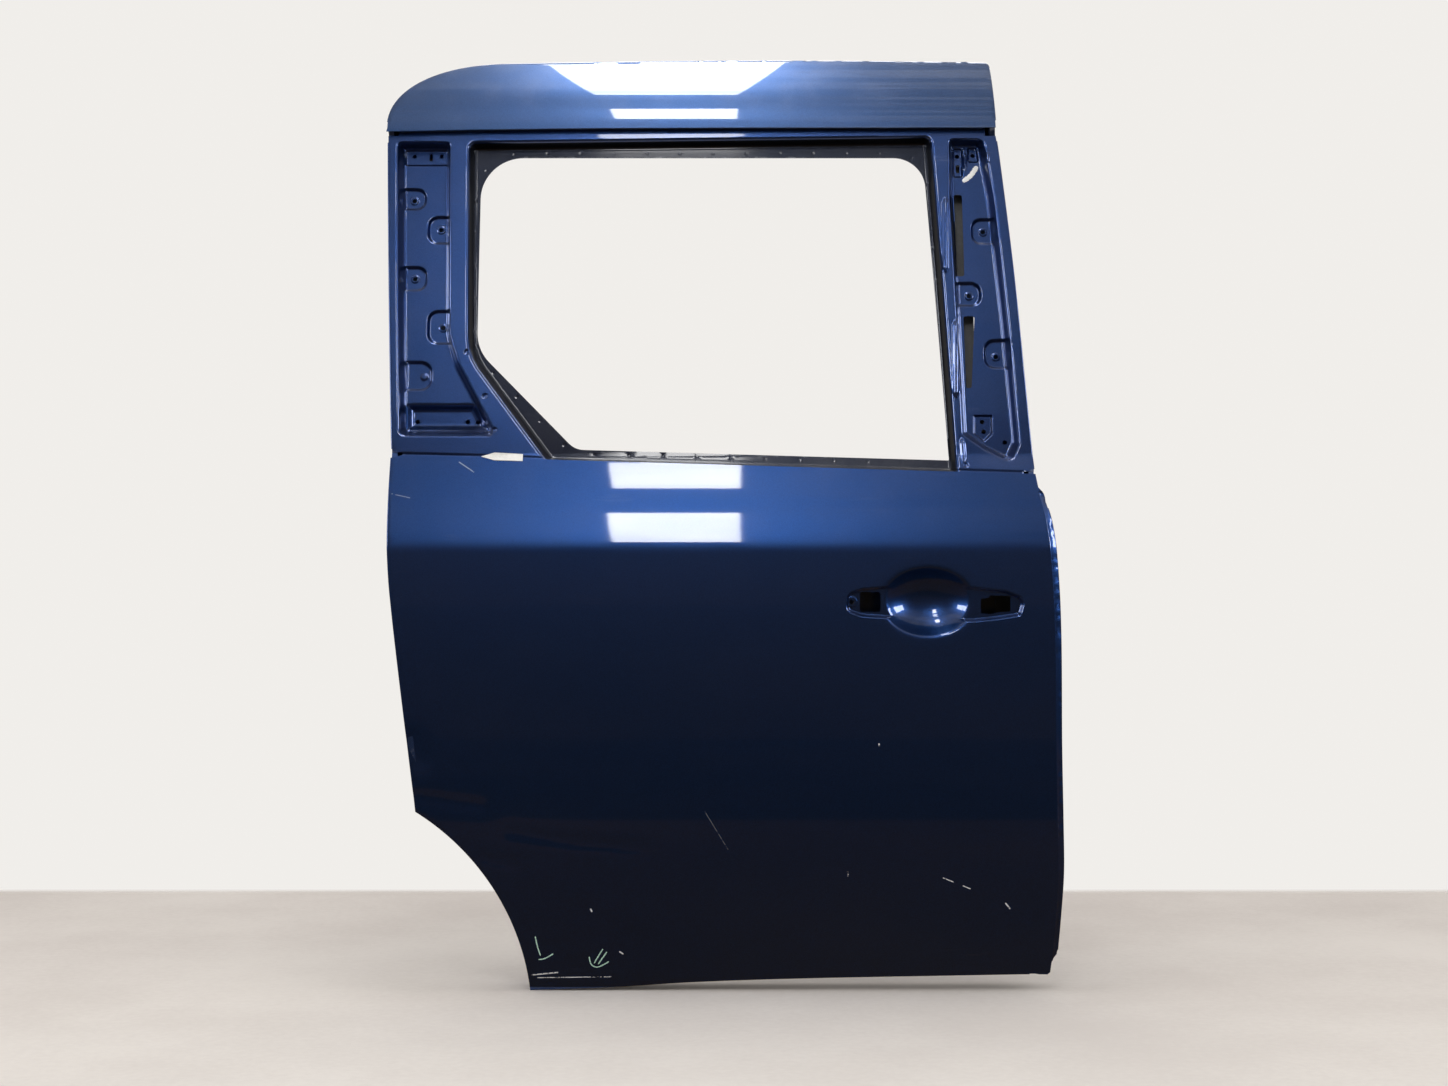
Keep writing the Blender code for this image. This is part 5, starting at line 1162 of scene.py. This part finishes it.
def ribbon(name, strokes, depth, width, forms, material, proud=0.00012):
    """Strokes through picture points at a depth, laid on the side face with its forms."""
    bm = bmesh.new()
    for stroke in strokes:
        stroke = [door_point(*p, depth) for p in stroke]
        path = [Vector(p) for p in even_points(through(stroke, 6), RIBBON_STEP, closed=False)]
        rows = []
        for i, spot in enumerate(path):
            run = (path[min(i + 1, len(path) - 1)] - path[max(i - 1, 0)]).normalized()
            side = Vector((-run.y, run.x))
            from_end = min(i, len(path) - 1 - i) * RIBBON_STEP
            half = width / 2 * math.sqrt(max(0.08, 1 - max(0.0, 1 - from_end / (width / 2)) ** 2))
            half *= 1 + 0.12 * math.sin(i * 2.1) + 0.08 * math.sin(i * 5.3 + 1)
            row = []
            for share in (-1, -0.5, 0, 0.5, 1):
                edge = spot + side * half * share
                y = float(depth_of(side_face, forms, edge.x, edge.y)[0])
                y = y - proud * (1.3 - abs(share)) - 0.00002
                row.append(bm.verts.new((edge.x - DATUM[0], y - DATUM[1], edge.y - DATUM[2])))
            rows.append(row)
        for near, far in zip(rows, rows[1:]):
            for k in range(4):
                bm.faces.new((near[k], near[k + 1], far[k + 1], far[k]))
    bmesh.ops.recalc_face_normals(bm, faces=bm.faces)
    piece = stand_up(name, bm, material)
    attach(piece, "root")
    print(name, len(piece.data.polygons), "faces")


marker = plain_finish("marker_ink", (0.45, 0.72, 0.62), 0.5, mottle=0.35, bump=0.1, scale=400.0)
white_paint = plain_finish("white_daub", (0.85, 0.86, 0.86), 0.35, mottle=0.05, bump=0.3, scale=200.0)
ribbon("marker_arrow_1", [[(534, 939), (536, 949), (539, 959)], [(537, 963), (543, 962), (552, 957)]],
       0.0, 0.0016, knocks, marker)
ribbon("marker_arrow_2", [[(602, 952), (597, 960), (593, 967)], [(606, 955), (601, 962), (597, 968)],
                          [(588, 960), (590, 968), (596, 971), (603, 968), (608, 965)]],
       0.0, 0.0016, knocks, marker)
ribbon("white_daub", [[(963, 181), (971, 175), (978, 165)]], 0.14, 0.0066,
       [belt_joggle(), rebate()] + front_forms, white_paint, proud=0.0005)

# %% [markdown]
# ## Floor
# The floor is pale, lightly clouded concrete that fades into the room, so that it has no hard edge
# from the front or the sides. It ends where the floor in the picture ends.

# %% Floor
FLOOR_Z = float(-DATUM[2])
FLOOR_BACK = 0.93 - float(DATUM[1])
FLOOR_REACH, FLOOR_DEPTH = 3.3, 4.2
MIDDLE_X = -float(DATUM[0])
floor_finish, shader, position = new_material("pale_concrete")
bm = bmesh.new()
bmesh.ops.create_grid(bm, x_segments=24, y_segments=24, size=1.0)
for vert in bm.verts:
    x, y = MIDDLE_X + vert.co.x * FLOOR_REACH, FLOOR_BACK - (1 - vert.co.y) / 2 * FLOOR_DEPTH
    vert.co = Vector((x, y, FLOOR_Z))
floor = stand_up("floor", bm, floor_finish, smooth=False)

cloud = noise(position, 2.2, 6.0, 0.62)
tone = plus(times(cloud, 0.75), times(noise(position, 90.0, 3.0, 0.6), 0.25))
place = node(floor_finish.node_tree, "ShaderNodeSeparateXYZ", in_Vector=position).outputs
nearer = ramp(place["Y"], FLOOR_BACK, FLOOR_BACK - 2.2, 0.0, 0.55)
lightness = plus(times(ramp(tone, 0.30, 0.70), 0.45), nearer)
wire(shader["Base Color"], mix_colour(lightness, (0.60, 0.555, 0.53, 1), (0.80, 0.765, 0.73, 1)))
wire(shader["Roughness"], ramp(cloud, 0.2, 0.8, 0.55, 0.75))
wire(shader["Specular IOR Level"], 0.0)
add_bump(tone, 0.15, 0.002, shader["Normal"])
side_fade = ramp(maths("ABSOLUTE", minus(place["X"], MIDDLE_X)), 2.3, FLOOR_REACH - 0.05, 1.0, 0.0)
back_fade = ramp(place["Y"], FLOOR_BACK - 0.05, FLOOR_BACK - 0.002, 1.0, 0.0)
front_fade = ramp(place["Y"], FLOOR_BACK - 4.15, FLOOR_BACK - 3.4, 0.0, 1.0)
wire(shader["Alpha"], times(times(side_fade, back_fade), front_fade))
print("floor ends", round(FLOOR_BACK, 3), "m behind the door's origin")

# %% [markdown]
# ## The room as the door sees it
# Glossy sheet metal shows the room in front of it, and a photographer shapes that with cards out of the
# camera's sight. Here the cards glow and only mirror rays see them, so they are painted reflections: dark,
# warm walls and a dark floor card over the pale floor that the camera sees, which make the upright lower half
# of the door nearly black, and a dim, streaked ceiling, which leaves the shoulder blue. Since only mirror
# rays see the cards, they take no light from the floor.

# %% Walls, floor and ceiling
world = bpy.data.worlds.new("pale_room")
bpy.context.scene.world = world
world.use_nodes = True
background = world.node_tree.nodes["Background"]
background.inputs["Color"].default_value = (0.875, 0.855, 0.825, 1)
background.inputs["Strength"].default_value = 1.0


def reflection_card(name, corners, shade, glow=1.0, streaks=0.0, dark_share=0.72):
    """A flat card that only mirrors see. Its four corners are door coordinates; streaks run along X."""
    finish = bpy.data.materials.new(name)
    finish.use_nodes = True
    tree = finish.node_tree
    tree.nodes.remove(tree.nodes["Principled BSDF"])
    spot = tree.nodes.new("ShaderNodeTexCoord").outputs["Object"]
    uneven = ramp(noise(spot, 1.2, 3.0), 0.3, 0.7)
    if streaks:
        uneven = times(uneven, ramp(noise(spot, streaks, 2.0, stretch=(0.02, 1, 1)), 0.42, 0.55))
    darker = [c * dark_share for c in shade]
    light = node(tree, "ShaderNodeEmission", in_Color=mix_colour(uneven, (*darker, 1), (*shade, 1)),
                 in_Strength=glow)
    wire(tree.nodes["Material Output"].inputs["Surface"], light.outputs[0])
    bm = bmesh.new()
    bm.faces.new([bm.verts.new(Vector(corner) - Vector(DATUM)) for corner in corners])
    made = stand_up(name, bm, finish, smooth=False)
    made.visible_camera = made.visible_diffuse = made.visible_shadow = False


ROOM_HALF, ROOM_NEAR, ROOM_BACK, CEILING = 4.5, -3.4, 4.0, 2.68


def across(near, far):
    """Corners of a card as wide as the room; near and far are the Y and Z of its long edges."""
    return [(-ROOM_HALF, *near), (ROOM_HALF, *near), (ROOM_HALF, *far), (-ROOM_HALF, *far)]


for name, near, far, shade in [
        ("dark_wall_low", (ROOM_NEAR, 0), (ROOM_NEAR, 0.75), (0.095, 0.058, 0.016)),
        ("dim_wall_high", (ROOM_NEAR, 0.75), (ROOM_NEAR, 2.15), (0.130, 0.085, 0.040)),
        ("wall_top", (ROOM_NEAR, 2.15), (ROOM_NEAR, CEILING), (0.20, 0.20, 0.21)),
        ("dark_floor", (ROOM_NEAR, 0.004), (-1.00, 0.004), (0.060, 0.038, 0.012)),
        ("warm_floor", (-1.00, 0.005), (0.30, 0.005), (0.150, 0.080, 0.020)),
        ("dim_ceiling_behind", (0.60, CEILING), (ROOM_BACK, CEILING), (0.30, 0.30, 0.30)),
        ("back_wall", (ROOM_BACK, 0), (ROOM_BACK, CEILING), (0.17, 0.16, 0.15))]:
    reflection_card(name, across(near, far), shade)
reflection_card("dim_ceiling_front", across((ROOM_NEAR, CEILING), (-1.60, CEILING)), (0.50, 0.51, 0.53),
                streaks=5.0, dark_share=0.45)
reflection_card("dim_ceiling_above", across((-1.60, CEILING), (0.60, CEILING)), (1.10, 1.08, 1.05),
                streaks=9.0, dark_share=0.40)
print("room height", CEILING, "m")

# %% [markdown]
# Bends and rims show whatever stands far to the sides, so a narrow bright window on each side draws
# the thin white lines along them. They are what makes pressed sheet metal read as sheet metal.

# %% Side walls and bright windows
for side in (-1, 1):
    for name, x, near, far, low, high, shade, glow in [
            ("side_wall", ROOM_HALF, ROOM_NEAR, ROOM_BACK, 0, CEILING, (0.050, 0.040, 0.028), 1.0),
            ("side_window", 3.6, -2.6, -0.9, 1.5, 2.6, (0.95, 0.97, 1.0), 18.0)]:
        x *= side
        reflection_card(name, [(x, near, low), (x, far, low), (x, far, high), (x, near, high)], shade, glow)
        print(name, "at x =", x, "m")

# %% [markdown]
# Ceiling lights hang in a row above the door and in front of it. They are what paints the white
# bars on the header and the shoulder. The place of each bar follows from the mirror rule at that
# part of the section: the steeper the sheet leans back, the nearer overhead its bar comes from.
# One long light behind the door does the same for its back.

# %% Ceiling lights
LIGHT_HEIGHT = 2.60
LIGHT_SHADE = (1.0, 0.995, 0.98)
for name, near, far, near_width, far_width, centre, glow, drop, streaks in [
        ("light_header_top", -0.22, 0.62, 0.29, 0.52, -0.118, 20.0, 0, 26.0),
        ("light_header_foot", -1.05, -0.64, 0.27, 0.27, -0.106, 30.0, 0, 30.0),
        ("light_frame_land", -1.74, -1.60, 0.354, 0.354, -0.128, 16.0, 0, 0.0),
        ("light_shoulder_high", -2.17, -1.88, 0.342, 0.342, -0.127, 28.0, 0, 20.0),
        ("light_shoulder_low", -3.36, -2.60, 0.385, 0.375, -0.142, 24.0, 0.45, 0.0),
        ("light_behind_long", 1.05, 1.25, 6.0, 6.0, 0.0, 12.0, 0, 0.0)]:
    low = LIGHT_HEIGHT - drop
    corners = [(centre - near_width / 2, near, low), (centre + near_width / 2, near, low),
               (centre + far_width / 2, far, LIGHT_HEIGHT), (centre - far_width / 2, far, LIGHT_HEIGHT)]
    reflection_card(name, corners, LIGHT_SHADE, glow, streaks)
    print(name, "hangs at y from", near, "to", far, "m")

# %% [markdown]
# Two lamps give the light that falls on the floor and on the matt pieces. Mirrors don't see them,
# since the bright cards already stand for them there.

# %% Soft lamps
for name, y, width, depth, brightness in [
        ("lamp_above", -0.05, 0.6, 0.8, 7.0), ("lamp_front", -2.30, 0.8, 0.8, 8.0)]:
    lamp = bpy.data.lights.new(name, "AREA")
    lamp.shape, lamp.size, lamp.size_y = "RECTANGLE", width, depth
    lamp.energy = brightness * math.pi * width * depth
    lamp.color = (1.0, 0.99, 0.97)
    made = bpy.data.objects.new(name, lamp)
    made.location = Vector((-0.1, y, LIGHT_HEIGHT)) - Vector(DATUM)
    made.visible_camera = made.visible_glossy = False
    bpy.context.scene.collection.objects.link(made)
    print(name, round(lamp.energy, 1), "W")

# %% [markdown]
# ## Camera
# The camera stands where the photographer stood: square to the door, 3 m away, level with the
# middle of the picture. The lens follows from the scale of 1.35 mm per picture point.

# %% Camera and sizes
camera_data = bpy.data.cameras.new("camera")
camera_data.sensor_width = 36.0
camera_data.lens = camera_data.sensor_width * CAMERA_DISTANCE / (2 * PICTURE_CENTRE[0] * METRES_PER_POINT)
camera = bpy.data.objects.new("camera", camera_data)
camera.location = Vector((0.0, -CAMERA_DISTANCE, CAMERA_HEIGHT)) - Vector(DATUM)
camera.rotation_euler = (math.radians(90), 0, 0)
bpy.context.scene.collection.objects.link(camera)
bpy.context.scene.camera = camera
bpy.context.scene.view_settings.view_transform = "Standard"
